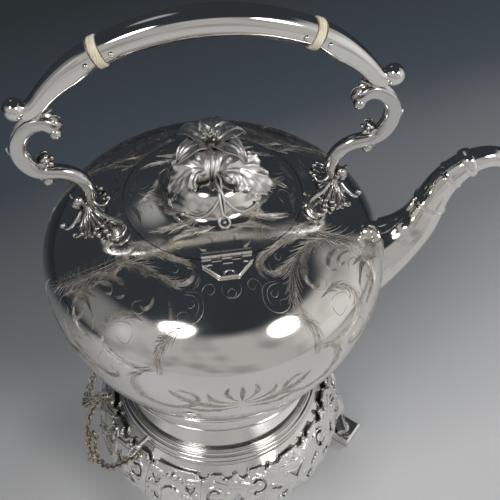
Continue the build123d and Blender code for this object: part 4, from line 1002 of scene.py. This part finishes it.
def fan():
    """Fluted bell of leaves over the body, as a skin from its neck to its tips and back under."""
    rows = smooth_line(MOUNT_ROWS, 30)
    vertices = []
    for step in range(MOUNT_STEPS):
        turn = 2 * pi * step / MOUNT_STEPS
        flute = abs(cos(MOUNT_FLUTES * turn / 2))
        for share, stand in rows:
            open_share = min(max((share - 0.28) / 0.5, 0.0), 1.0)
            out = MOUNT_REACH * share * (0.90 + 0.10 * flute**0.5 if share > 0.32 else 1)
            x, y = MOUNT_X + MOUNT_NARROWING * out * cos(turn), out * sin(turn)
            keep_off = max(hypot(x, y), MOUNT_INNER_EDGE) / hypot(x, y)
            base = body_top(keep_off * x, keep_off * y)
            lifted = max(stand + 1.1 * open_share * (flute - 0.5), 0.25)
            splay = 0.30 * lifted * (1 if share > 0.4 else 0.6)
            vertices.append((base[0] + splay, base[1], base[2] + lifted))
        vertices.append(body_top(*vertices[-1][:2], -MOUNT_SINK))
    count = len(rows) + 1
    faces = skin_faces(MOUNT_STEPS, count, round_trip=True, closed=False)
    faces.append(tuple(step * count for step in range(MOUNT_STEPS)))
    faces.append(tuple(step * count + count - 1 for step in range(MOUNT_STEPS))[::-1])
    return vertices, faces


def tendril(points, radius, end_radius):
    """Thin curled stalk that ends in a bead."""
    line = smooth_line(points, 28)
    stalk = swept(line, lambda share: disc(radius * (1 - 0.45 * share), 10), side=(0.2, 0.3, 1))
    return [stalk, ball(line[-1], end_radius, 10, 16)]


def mount():
    """Fan with its beads, bud and tendrils, for the right-hand side."""
    shapes = [fan()]
    for number in range(0, MOUNT_FLUTES, 2):
        turn = 2 * pi * number / MOUNT_FLUTES
        x, y = MOUNT_X + MOUNT_NARROWING * MOUNT_REACH * cos(turn), MOUNT_REACH * sin(turn)
        shapes.append(ball(body_top(x, y, 1.5), 1.35, 10, 16))
    for points, radius, end_radius in MOUNT_TENDRILS:
        shapes += tendril(points, radius, end_radius)
    for x, y, size in MOUNT_BERRIES:
        shapes.append(ball(body_top(x, y, 1.4), size, 12, 18))
    shapes += [ball(MOUNT_BUD, MOUNT_BUD_RADIUS, 18, 26), leaflet(*MOUNT_BUD_LEAF)]
    return joined(shapes)


for side, word in ((1, "right"), (-1, "left")):
    cast = mesh_object("handle_fan_mount_" + word, mirrored(mount(), side), handle_castings, 50)
    belongs(cast, "kettle", "handle_mount_" + word)


# Finial
# A cast lily of six ribbed petals with a tuft of stamens, over four ruffled vine leaves that droop
# on the dome.  A twisted pair of stalks runs down the front to a round boss.  A nut holds it all.
FLOWER_PETALS = 6
FLOWER_HEART = (0, 0, 343.6)
STAMENS = 9
STAMEN_REACH = 12.0
FLOWER_FACING = -98.0
PETAL_SPINE = [(1.4, 343.6), (5.2, 347.6), (10.0, 349.8), (14.8, 349.6), (18.6, 347.2), (20.4, 344.2)]
PETAL_HALF = 7.0
PETAL_DROPS = [7.5, 3.2, 0.6, -0.6, 0.4, 3.6]
LEAF_SPINE = [(1.0, 335.0), (6.0, 338.6), (12.5, 338.4), (19.0, 334.4), (24.5, 328.2), (28.0, 321.8)]
LEAF_HALF = 10.0
VINE_LEAVES = [
    (172.0, 0.80, (-2.0, -12.0), -40.0),
    (-12.0, 1.02, (1.0, -12.5), 38.0),
    (44.0, 0.92, (2.0, -3.0), 26.0),
    (128.0, 0.80, (-1.0, -1.0), -14.0),
]
STALK_FACING = -86.0
BOSS_RADIUS = 30.4


def blade(facing, spine, outline, relief, rows, columns, thickness, drop=0.0, root=(0, 0), roll=0.0):
    """Cast leaf or petal that springs from its root: outline(share) is its half width."""
    line = smooth_line(spine, rows)
    turn, tip_over = radians(facing), radians(roll)
    outward = np.array([cos(turn), sin(turn), 0.0])
    level_across = np.array([-sin(turn), cos(turn), 0.0])
    along = np.gradient(line, axis=0)
    along /= np.linalg.norm(along, axis=1)[:, None]
    top, under = [], []
    for row in range(rows + 1):
        share = row / rows
        radius, height = line[row]
        level_up = outward * -along[row, 1] + np.array([0, 0, along[row, 0]])
        facing_up = level_up * cos(tip_over) - level_across * sin(tip_over)
        across_leaf = level_across * cos(tip_over) + level_up * sin(tip_over)
        spot = outward * radius + np.array([*root, height - drop * share**2])
        half = outline(share)
        for column in range(columns + 1):
            over = 2 * column / columns - 1
            point = spot + across_leaf * half * over + facing_up * relief(share, over)
            floor = np.interp(hypot(point[0], point[1]), lid_line[:, 0], lid_line[:, 1]) + 0.3
            upper, lower = point + facing_up * thickness / 2, point - facing_up * thickness / 2
            lower[2] = max(lower[2], floor)
            upper[2] = max(upper[2], floor + thickness * 0.8)
            top.append(upper)
            under.append(lower)
    return two_sided(top, under, rows, columns)


def lid_top(turn, radius, stand):
    """Point of the lid at an angle from the stalks and a radius, stood off from the surface."""
    run = np.interp(radius, lid_line[:, 0], lid_skin[1])
    return skin_point(lid_skin, STALK_FACING + turn, run, stand)


def petal_outline(share):
    """Half width of a pointed petal."""
    return PETAL_HALF * max(sin(pi * (0.12 + 0.88 * share**0.9)), 0) ** 0.8 * (1 - 0.12 * share) + 0.12


def petal_relief(share, over):
    """Cupped petal with a sharp middle rib, two side ribs and a slightly waved edge."""
    rib = 1.15 * exp(-(over / 0.17) ** 2) + 0.65 * exp(-((abs(over) - 0.52) / 0.14) ** 2)
    return rib + 2.3 * over * over * (1 - 0.7 * share) + 0.7 * abs(over) ** 3 * sin(12 * share + 2 * over)


def leaf_outline(share):
    """Half width of a lobed and toothed vine leaf with a pointed tip."""
    lobes = 1 + 0.09 * sin(2 * pi * (2.6 * share + 0.10)) + 0.05 * sin(2 * pi * 11 * share)
    return LEAF_HALF * max(sin(pi * (0.05 + 0.95 * share**0.9)), 0) ** 0.75 * lobes + 0.15


def leaf_relief(share, over):
    """Ruffled leaf: a sunk middle rib, branching veins and a deeply waved edge."""
    rib = 0.8 * exp(-(over / 0.07) ** 2) - 1.0 * exp(-(over / 0.25) ** 2)
    branch = 0.75 * abs(sin(pi * (5.0 * share - 1.9 * abs(over)))) ** 6 * min(abs(over) * 4, 1)
    phase = 1.1 if over > 0 else -0.6
    ruffle = 1.1 * abs(over) ** 1.8 * sin(2 * pi * 2.4 * share + phase)
    ruffle += 1.0 * abs(over) ** 2.6 * sin(2 * pi * 5.6 * share + phase)
    return rib + branch + ruffle - 1.1 * over * over


# Painted shade: an ambient occlusion mask darkens the hollows of the lily and leaves along with their oxide.
finial_silver = cast_silver("finial_silver", roughness=0.36, recess_oxide_and_shade=(0.12, 0.09, 0.07), reach=3.2)
shapes = [ball(FLOWER_HEART, 4.0, 16, 24)]
for number in range(FLOWER_PETALS):
    facing = FLOWER_FACING + 360 * number / FLOWER_PETALS
    shapes.append(blade(facing, PETAL_SPINE, petal_outline, petal_relief, 30, 16, 0.8, PETAL_DROPS[number]))
for number in range(STAMENS):
    lean, turn = (0.35 if number % 3 else 0.12), 2 * pi * number / STAMENS
    out = STAMEN_REACH * sin(lean)
    tip = (out * cos(turn), out * sin(turn), 347.2 + 5.2 * cos(lean))
    stem_line = smooth_line([(0.8 * cos(turn), 0.8 * sin(turn), 346), (tip[0] / 2, tip[1] / 2, 350), tip], 6)
    shapes += [swept(stem_line, lambda share: disc(0.42, 6)), ball(tip, 0.85, 8, 10)]
flower = mesh_object("finial_lily", joined(shapes), finial_silver, 60)
belongs(flower, "lid_body", "finial_flower")

neck_centres = [(0, 0, z) for z in (334.6, 336, 338, 340, 342)]
shapes = [swept(neck_centres, lambda share: disc(3.6 - 1.2 * sin(pi * share), 20), side=(1, 0, 0))]
for facing, size, root, roll in VINE_LEAVES:
    spine = [(radius * size, height) for radius, height in LEAF_SPINE]
    shapes.append(blade(facing, spine, leaf_outline, leaf_relief, 44, 26, 1.0, 0.0, root, roll))
for twist in (0, pi):
    points = []
    for share in np.linspace(0, 1, 30):
        radius = 3.0 + 24.5 * share
        sway = 1.5 * sin(9 * share + twist) * (1.1 - 0.5 * share)
        stand = 2.0 - 0.5 * share + 0.7 * cos(9 * share + twist) + 3.2 * (1 - share) ** 4
        points.append(lid_top(np.degrees(sway / radius), radius, stand))
    shapes.append(swept(points, lambda share: oval(1.25 - 0.35 * share, 1.05 - 0.3 * share, 10)))
for turn_off, tip_off in ((-22, -46), (20, 44)):
    curl = ((0, 22), (turn_off * 0.5, 25.5), (turn_off, 27.6), (tip_off, 28.8))
    shapes += tendril([lid_top(turn, radius, 1.0) for turn, radius in curl], 1.0, 1.2)
boss_centre = lid_top(0, BOSS_RADIUS, 0.9)
ring_points = []
for turn in np.linspace(0, 2 * pi, 28, endpoint=False):
    radius = BOSS_RADIUS + 2.7 * cos(turn)
    ring_points.append(lid_top(np.degrees(2.7 * sin(turn) / radius), radius, 0.7))
shapes.append(swept(ring_points, lambda share: oval(0.85, 0.75, 10), round_trip=True))
shapes.append(ball(boss_centre, 1.1, 10, 14))
leaves = mesh_object("finial_vine_leaves", joined(shapes), finial_silver, 60)
belongs(leaves, "lid_body", "finial_leaves")


# Collar, stand ring and shoulder
# Turned mouldings: a collar under the body spreads to a foot that drops in the stand's ring, over a
# plain shoulder.  They stay as turned, and have the finish of polished but handled silver.
turned_silver = polished_silver("turned_silver", roughness=0.06, rub=0.09)


def finish(names, material):
    """Gives plain solids a finish."""
    for name in names:
        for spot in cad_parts[name].material_slots:
            spot.material = material


satin_silver = polished_silver("satin_silver", roughness=0.17, rub=0.10)
finish(["kettle_foot"], satin_silver)
finish(["stand_shoulder", "lid_seat_ring", "lid_bezel", "finial_stem", "finial_nut"], turned_silver)
finish(["hinge_leaf_body", "hinge_leaf_lid", "lid_hinge_pin", "handle_rivets"], bright)


def bead_outline(radius, height, bead, start, end, count):
    """Points of a turned bead's section, between two angles in degrees."""
    turns = np.radians(np.linspace(start, end, count))
    return [(radius + bead * cos(turn), height + bead * sin(turn)) for turn in turns]


COLLAR_BEADS = [
    (74.0, 186.2, 1.6), (73.6, 181.6, 1.2), (73.3, 177.9, 0.8), (72.7, 166.0, 1.3), (71.2, 162.9, 1.1),
]
mouldings = [turned(bead_outline(*bead, 0, 340, 18)[::-1]) for bead in COLLAR_BEADS]
beads = mesh_object("collar_beads", joined(mouldings), turned_silver, 60)
belongs(beads, "kettle")

RING_FLOOR = 117.0
RING_TOP = 131.0
RING_BORE = 57.0
RING_SKIRT = 1.8
RING_BEADS = [
    (69.9, 129.6, 1.40, 100, -60), (71.9, 126.6, 1.60, 80, -60), (73.0, 122.6, 1.40, 75, -80),
    (72.6, 119.4, 1.2, 60, -90),
]
outline = [(RING_BORE, RING_FLOOR + 2.0), (RING_BORE, RING_TOP), (68.2, RING_TOP), (68.5, RING_TOP - 0.8)]
for bead in RING_BEADS:
    outline += bead_outline(*bead, 14)
outline += [(72.0, RING_FLOOR), (66.2, RING_FLOOR), (66.2, RING_TOP - RING_SKIRT)]
outline += [(RING_BORE + RING_SKIRT, RING_TOP - RING_SKIRT), (RING_BORE + RING_SKIRT, RING_FLOOR + 2.0)]
ring = mesh_object("stand_ring_moulding", turned(outline), turned_silver, 40)
belongs(ring, "stand", "stand_ring")


# Insulating rings
# Ivory rings between the grip and the ends of the handle keep the heat from the hand.  They are
# cream, with fine lengthwise grain.
IVORY_TONES = [(0.35, (0.62, 0.52, 0.34)), (0.62, (0.80, 0.73, 0.57)), (0.9, (0.88, 0.83, 0.70))]
ivory, tree, shader = new_material("ivory")
where = places(tree)
age = pattern(tree, "Noise", where, 120.0)
mixed = arithmetic(tree, "MULTIPLY_ADD", pattern(tree, "Wave", where, 260.0, 3.0, 5.0), 0.25, age)
tinted(tree, shader, mixed, IVORY_TONES)
shader.inputs["Roughness"].default_value = 0.28
shader.inputs["Subsurface Weight"].default_value = 0.15
shader.inputs["Subsurface Radius"].default_value = (0.002, 0.0015, 0.001)
finish(["handle_ring_right", "handle_ring_left"], ivory)


# Apron
# Three cast and pierced panels of strapwork hang from the shoulder between the legs.  Their openings
# have raised edges, with discs, spirals and beads between them, and brown oxide with painted shade in the
# hollows.
APRON_LINE = [(80.5, 117.0), (85.6, 110.5), (89.6, 103.0), (92.4, 92.0), (93.6, 80.0)]
APRON_SHEET = 1.9
PANEL_HALF = 46.5
PANEL_ARCH = (0, 76.0, 9.0)
PANEL_ARROW = [(-6.4, 3.8), (0, 0.8), (6.4, 3.8), (0, -5.6)]
PANEL_DIAMOND = [(0, 5.2), (3.6, 0), (0, -5.2), (-3.6, 0)]
SLOT_TURN = 11.5
SLOT_Z = 99.0
SLOT_LEAN = radians(38)
SLOT_REACH = 3.4
SLOT_HALF = 1.6
OPEN_RING_RADIUS = 4.7
OPEN_RING_HALF = 0.9
BRIDGE_OFF = 5.6
BRIDGE_HALF = (3.9, 2.8)
STRAP_HEIGHT = 0.55
PANEL_CENTRES = [60, 180, 300]
GRID = 0.45
APRON_RADIUS = 91.0
DEGREE = radians(APRON_RADIUS)
PANEL_RINGS = [(19.5, 106.0, 1), (40.5, 103.0, -1)]
PANEL_OVALS = [(7.5, 88.5, 2.4, 3.6), (20.5, 90.0, 4.2, 2.6), (38.0, 89.5, 4.0, 2.8)]
PANEL_NOTCHES = [
    (7.8, 119.4, 4.6), (13.6, 118.6, 3.2), (26.0, 119.0, 5.4), (33.6, 119.6, 5.2), (46.5, 119.2, 5.4),
    (14.0, 77.0, 6.4), (29.5, 76.5, 8.6), (43.6, 77.5, 5.4),
]
PANEL_STRAPS = [
    ((0, 108.5), (12.0, 110.5), 1.5), ((12.0, 110.5), (20.0, 114.0), 1.5),
    ((6.0, 95.0), (12.5, 92.5), 1.3), ((36.5, 108.0), (44.0, 110.5), 1.5),
    ((44.0, 110.5), (53.0, 112.0), 1.5), ((52.5, 91.5), (54.5, 105.0), 1.4),
    ((25.0, 96.0), (37.0, 92.0), 1.4), ((55.0, 110.0), (64.0, 112.5), 1.4),
    ((0.0, 92.5), (4.0, 86.0), 1.2), ((24.0, 86.0), (38.0, 83.0), 1.3),
    ((50.0, 84.5), (66.0, 85.5), 1.4), ((38.5, 104.5), (42.5, 94.5), 1.2),
]
PANEL_BEADS = [
    (0.0, 111.6, 1.5), (5.0, 111.0, 1.0), (24.5, 111.5, 1.3), (31.5, 112.0, 1.7), (49.0, 113.0, 1.3),
    (60.0, 107.5, 1.8), (16.0, 86.0, 1.6), (45.5, 92.5, 1.5), (61.5, 97.0, 1.7), (9.5, 105.2, 1.2),
    (36.0, 87.0, 1.3), (57.0, 89.5, 1.2), (0.0, 91.8, 1.3), (21.5, 98.2, 1.4), (68.0, 104.0, 1.5),
    (68.5, 95.0, 1.2), (2.6, 114.2, 0.9), (37.6, 113.6, 1.0),
]


def circle(x, z, cx, cz, radius):
    """Distance outside a circle."""
    return np.hypot(x - cx, z - cz) - radius


def oval_patch(x, z, cx, cz, half_x, half_z):
    """Distance, nearly, outside an oval."""
    reach = np.hypot((x - cx) / half_x, (z - cz) / half_z)
    return (reach - 1) * min(half_x, half_z)


def polygon(x, z, corners):
    """Distance outside a closed outline."""
    nearest = np.full_like(x, 1e9)
    inside = np.zeros(x.shape, bool)
    for (ax, az), (bx, bz) in zip(corners, corners[1:] + corners[:1]):
        ex, ez = bx - ax, bz - az
        share = np.clip(((x - ax) * ex + (z - az) * ez) / (ex * ex + ez * ez), 0, 1)
        nearest = np.minimum(nearest, np.hypot(x - ax - ex * share, z - az - ez * share))
        crosses = (az > z) != (bz > z)
        inside ^= crosses & (x < ax + (z - az) * ex / (ez if abs(ez) > 1e-9 else 1e-9))
    return np.where(inside, -nearest, nearest)


def strap(x, z, start, end, half):
    """Distance outside a straight band with round ends."""
    ex, ez = end[0] - start[0], end[1] - start[1]
    share = np.clip(((x - start[0]) * ex + (z - start[1]) * ez) / (ex * ex + ez * ez), 0, 1)
    return np.hypot(x - start[0] - ex * share, z - start[1] - ez * share) - half


def shifted(corners, cx, cz):
    """Corners moved to a centre."""
    return [(cx + x, cz + z) for x, z in corners]


def panel_openings(x, z):
    """Distance outside the nearest opening of a panel; x runs along the arc from its middle."""
    mid = np.abs(x)
    slot_x = SLOT_TURN * DEGREE
    reach_x, reach_z = SLOT_REACH * cos(SLOT_LEAN), SLOT_REACH * sin(SLOT_LEAN)
    slot_start, slot_end = (slot_x - reach_x, SLOT_Z - reach_z), (slot_x + reach_x, SLOT_Z + reach_z)
    shapes = [
        circle(x, z, *PANEL_ARCH),
        polygon(x, z, shifted(PANEL_ARROW, 0, 101.5)),
        strap(mid, z, slot_start, slot_end, SLOT_HALF),
        polygon(mid, z, shifted(PANEL_DIAMOND, 29.5 * DEGREE, 99.5)),
    ]
    for turn, height, opens in PANEL_RINGS:
        cx = turn * DEGREE
        ring = np.abs(circle(mid, z, cx, height, OPEN_RING_RADIUS)) - OPEN_RING_HALF
        off_x = np.abs(mid - cx - opens * BRIDGE_OFF) - BRIDGE_HALF[0]
        bridge = np.maximum(off_x, np.abs(z - height) - BRIDGE_HALF[1])
        shapes.append(np.maximum(ring, -bridge))
    for turn, height, half_x, half_z in PANEL_OVALS:
        shapes.append(oval_patch(mid, z, turn * DEGREE, height, half_x, half_z))
    for turn, height, radius in PANEL_NOTCHES:
        shapes.append(circle(mid, z, turn * DEGREE, height, radius))
    return np.minimum.reduce(shapes)


def smooth_edge(distance, soft=0.35):
    """One inside a shape, nothing outside it."""
    return np.clip(0.5 - distance / (2 * soft), 0, 1)


def edge_rim(opening):
    """Height of the raised edge round an opening."""
    return STRAP_HEIGHT * np.exp(-((opening - 0.75) / 0.38) ** 2)


def strapped(height, mid, z, straps, beads):
    """Height with straps, each with a line along its edge, and beads in sunk rings."""
    for start, end, half in straps:
        band = strap(mid, z, start, end, half)
        edge_line = 0.25 * np.exp(-((band + 0.35) / 0.22) ** 2)
        height = np.maximum(height, STRAP_HEIGHT * smooth_edge(band) + edge_line)
    for cx, cz, radius in beads:
        away = np.hypot(mid - cx, z - cz)
        height = np.maximum(height, np.sqrt(np.clip(radius**2 - away**2, 0, None)) * 0.85)
        height = np.maximum(height, 0.30 * np.exp(-((away - radius - 0.7) / 0.25) ** 2))
    return height


def panel_relief(x, z, opening):
    """Height of a panel's strapwork above the sheet, with a spiral inside each pierced ring."""
    mid = np.abs(x)
    height = strapped(edge_rim(opening), mid, z, PANEL_STRAPS, PANEL_BEADS)
    for turn, centre_z, opens in PANEL_RINGS:
        away = np.hypot(mid - turn * DEGREE, z - centre_z)
        angle = np.arctan2(z - centre_z, mid - turn * DEGREE)
        spiral = np.abs(((away - angle * 0.28) % 1.76) - 0.88)
        coil = smooth_edge(away - 3.3) * (0.35 + 0.5 * np.exp(-(spiral / 0.36) ** 2))
        height = np.maximum.reduce([height, coil, 0.7 * np.exp(-((away - 6.9) / 0.55) ** 2)])
    return height


apron_skin = skin_of(smooth_line(APRON_LINE, 60))


def cell_corners(values):
    """A grid's values at the four corners of each of its cells."""
    return [values[:-1, :-1], values[1:, :-1], values[:-1, 1:], values[1:, 1:]]


def apron_sheet(centre, half, openings, relief):
    """A fine sheet, with its openings left out, raised by its relief."""
    _, runs, facing = apron_skin
    radii, heights = apron_skin[0].T
    columns = int(2 * half * DEGREE / GRID)
    rows = int(runs[-1] / GRID)
    turn, run = np.meshgrid(np.linspace(-half, half, columns + 1), np.linspace(0, runs[-1], rows + 1))
    z = np.interp(run, runs, heights)
    x = turn * DEGREE
    opening = openings(x, z)
    step = 0.05
    slope_x = (openings(x + step, z) - opening) / step
    slope_z = (openings(x, z + step) - opening) / step
    slope = np.maximum(slope_x**2 + slope_z**2, 0.25)
    near = np.abs(opening) < GRID * 0.75
    dz_dr = (z[1:] - z[:-1]) / (run[1:] - run[:-1])
    dz_dr = np.vstack([dz_dr, dz_dr[-1:]])
    x = np.where(near, x - opening * slope_x / slope, x)
    run = np.where(near, run - opening * slope_z / slope / dz_dr, run)
    run = np.clip(run, 0, runs[-1])
    z = np.interp(run, runs, heights)
    height = np.where(near, 0.35, relief(x, z, opening))
    radius = np.interp(run, runs, radii) + height * np.interp(run, runs, facing[:, 0])
    level_z = z + height * np.interp(run, runs, facing[:, 1])
    angle = np.radians(centre + x / DEGREE)
    points = np.stack([radius * np.cos(angle), radius * np.sin(angle), level_z], axis=-1).reshape(-1, 3)
    keep = np.where(near, 0.0, opening) >= 0
    whole = np.logical_and.reduce(cell_corners(keep))
    centre_clear = sum(cell_corners(opening)) > 0
    row_at, column_at = np.nonzero(whole & centre_clear)
    a = row_at * (columns + 1) + column_at
    quads = np.stack([a, a + columns + 1, a + columns + 2, a + 1], axis=1)
    used = np.unique(quads)
    renumber = np.zeros(len(points), int)
    renumber[used] = np.arange(len(used))
    return points[used], renumber[quads]


CORNER_TURNS = [0, 120, 240]
CORNER_HALF = 13.4
ARROW_SLOT = [(-3.6, 3.4), (0.4, 1.2), (4.4, 3.8), (3.2, 0), (0.4, -3.6), (-2.8, -0.4)]
TABLET_HALF = 7.2
TABLET_ARCH_Z = 99.0
CORNER_STRAPS = [
    ((9.5, 100.0), (19.5, 98.5), 1.3), ((10.5, 111.5), (20.0, 112.5), 1.4), ((9.0, 83.5), (20.5, 84.5), 1.3),
]
CORNER_BEADS = [
    (0.0, 112.6, 2.4), (4.6, 111.8, 1.5), (8.2, 110.0, 1.2), (17.6, 103.0, 1.6), (17.4, 93.6, 1.7),
    (16.4, 114.8, 1.1),
]


def corner_openings(x, z):
    """Distance outside the openings of a corner: an arrow slot and a notch on each side."""
    mid = np.abs(x)
    arrow = polygon(mid, z, shifted(ARROW_SLOT, 13.2, 106.0))
    window = oval_patch(mid, z, 12.0, 90.0, 2.2, 4.2)
    return np.minimum.reduce([arrow, window, circle(mid, z, 21.4, 117.6, 3.4)])


def corner_relief(x, z, opening):
    """Height of the arched tablet with its engraved oval, and of the strapwork beside it."""
    mid = np.abs(x)
    arch = np.hypot(mid, (z - TABLET_ARCH_Z) * 1.05)
    tablet = np.where(z > TABLET_ARCH_Z, arch, mid) - TABLET_HALF
    tablet_height = 1.25 * smooth_edge(tablet, 0.5) + 0.45 * np.exp(-((tablet + 0.6) / 0.30) ** 2)
    ring = np.hypot(x / 3.4, (z - 96.0) / 5.2)
    grooves = 0.35 * np.exp(-((ring - 1.0) / 0.09) ** 2) + 0.25 * np.exp(-((ring - 0.62) / 0.08) ** 2)
    height = np.maximum(edge_rim(opening), tablet_height) - grooves
    return strapped(height, mid, z, CORNER_STRAPS, CORNER_BEADS)


# Painted shade: an ambient occlusion mask darkens the strapwork's hollows along with their oxide.
apron_silver = cast_silver("apron_silver", roughness=0.25, recess_oxide_and_shade=(0.09, 0.075, 0.06), reach=2.4)
pieces = [("strapwork", "panel", n, at, PANEL_HALF, panel_openings, panel_relief)
          for n, at in enumerate(PANEL_CENTRES, 1)]
pieces += [("tablet", "corner", n, at, CORNER_HALF, corner_openings, corner_relief)
           for n, at in enumerate(CORNER_TURNS, 1)]
for kind, part, number, centre, half, openings, relief in pieces:
    shape = apron_sheet(centre, half, openings, relief)
    cast = mesh_object(f"apron_{kind}_{number}", shape, apron_silver, 70)
    sheet = cast.modifiers.new("thickness", "SOLIDIFY")
    sheet.thickness = APRON_SHEET * MM
    sheet.offset = -1.0
    belongs(cast, "stand", f"apron_{part}_{number}")


# Legs and feet
# Three cast legs leave the apron behind its tablets and end in square pads.  Each pad carries a
# chased shell over a small scroll, cast with the leg.
PAD_PLACE = (110.0, 8.0)
PAD_REACH = 9.6


def pad_shell():
    """Ribbed shell that opens towards the pad's outer corner."""
    ribs, rings = 90, 26
    pad_x, pad_z = PAD_PLACE
    points = []
    for ring in range(rings + 1):
        share = ring / rings
        for rib in range(ribs + 1):
            over = 2 * rib / ribs - 1
            turn = radians(74) * over
            flute = abs(cos(4.5 * pi * over))
            reach = PAD_REACH * share * (0.86 + 0.10 * flute) * (1 - 0.16 * over * over)
            rise = 2.6 * sin(pi * share**0.8) ** 0.7 * (0.55 + 0.45 * flute) * (1 - 0.45 * over * over)
            points.append((pad_x - 3.2 + reach * cos(turn), reach * sin(turn), pad_z - 0.25 + max(rise, 0.0)))
    return two_sided(points, [(x, y, pad_z - 0.6) for x, y, z in points], rings, ribs)


def spiral_scroll(centre, radius, turns, wire, facing):
    """Rolled scroll that lies flat: a spiral rib from its outer end to its eye."""
    points = []
    for share in np.linspace(0, 1, 40):
        turn = facing + 2 * pi * turns * share
        away = radius * (1 - share) ** 0.9 + 0.4
        points.append((centre[0] + away * cos(turn), centre[1] + away * sin(turn), centre[2] + 0.8 * share))
    coil = swept(points, lambda share: disc(wire * (1 - 0.3 * share), 10), side=(0.1, 0.1, 1))
    return [coil, ball(points[-1], wire * 1.25, 10, 14)]


def turned_round(shape, angle):
    """The same shape turned about the kettle's axis."""
    over, ahead = cos(radians(angle)), sin(radians(angle))
    return [(x * over - y * ahead, x * ahead + y * over, z) for x, y, z in shape[0]], shape[1]


for number, angle in enumerate(CORNER_TURNS, 1):
    shapes = [pad_shell(), ball((PAD_PLACE[0] - 3.4, 0, PAD_PLACE[1] + 0.6), 2.0, 14, 20)]
    for side in (-1, 1):
        centre = (PAD_PLACE[0] + 0.6, side * 8.6, PAD_PLACE[1] + 0.3)
        shapes += spiral_scroll(centre, 3.4, side * 1.4, 0.75, pi)
    shell = mesh_object(f"pad_shell_{number}", turned_round(joined(shapes), angle), apron_silver, 60)
    belongs(shell, "stand")
finish([f"leg_{n}" for n in (1, 2, 3)] + [f"leg_foot_{n}" for n in (1, 2, 3)], apron_silver)


# Chains and lock pins
# Each lock pin hangs from the stand on a chain of round silver links, soldered shut one by one and
# gone brown with handling.  The hollows between the links are darkened further as painted shade.
CHAIN_HOLLOW_OXIDE_AND_SHADE = (0.07, 0.055, 0.04)
CHAIN_CREST = (0.56, 0.49, 0.40)
# Painted shade: an ambient occlusion mask darkens the hollows between links towards the hollow tone.
chain_silver = cast_silver("chain_silver", roughness=0.30, recess_oxide_and_shade=CHAIN_HOLLOW_OXIDE_AND_SHADE, reach=2.2, crest=CHAIN_CREST)
finish([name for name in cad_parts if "chain" in name], chain_silver)


# Spirit burner
# Under the kettle a spun bowl on a three-armed frame holds the spirit.  A wick of plaited cotton
# stands in its tube, and a snuffer cap hangs from the frame on its own small hinge.
burner_silver = polished_silver("burner_silver", roughness=0.14, rub=0.16, dents=0.05)
burner_words = ("burner", "cap_", "snuffer", "wick_tube")
finish([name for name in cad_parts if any(word in name for word in burner_words)], burner_silver)

COTTON_TONES = [(0.1, (0.16, 0.13, 0.10)), (0.35, (0.62, 0.56, 0.46)), (0.7, (0.80, 0.76, 0.68))]
cotton, tree, shader = new_material("plaited_cotton")
where = places(tree)
plait = pattern(tree, "Wave", where, 420.0, distortion=2.0)
plait.node.bands_direction = "DIAGONAL"
threads = arithmetic(tree, "MULTIPLY", plait, pattern(tree, "Noise", where, 300.0))
tinted(tree, shader, threads, COTTON_TONES)
shader.inputs["Roughness"].default_value = 0.95
bumped(tree, shader, plait, 0.5, 0.4 * MM)
finish(["wick"], cotton)


# Tilting hinge, lock pins and chain eyes
# Plain turned knuckles, pins and wire rings of silver, filed smooth and polished by hand, then
# soldered to the stand's ring.
small_parts = polished_silver("small_parts", roughness=0.12, rub=0.12)
dressed = [turned_silver, satin_silver, bright, ivory, apron_silver, chain_silver, burner_silver, cotton]
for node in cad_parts.values():
    for spot in node.material_slots:
        if spot.material not in dressed:
            spot.material = small_parts
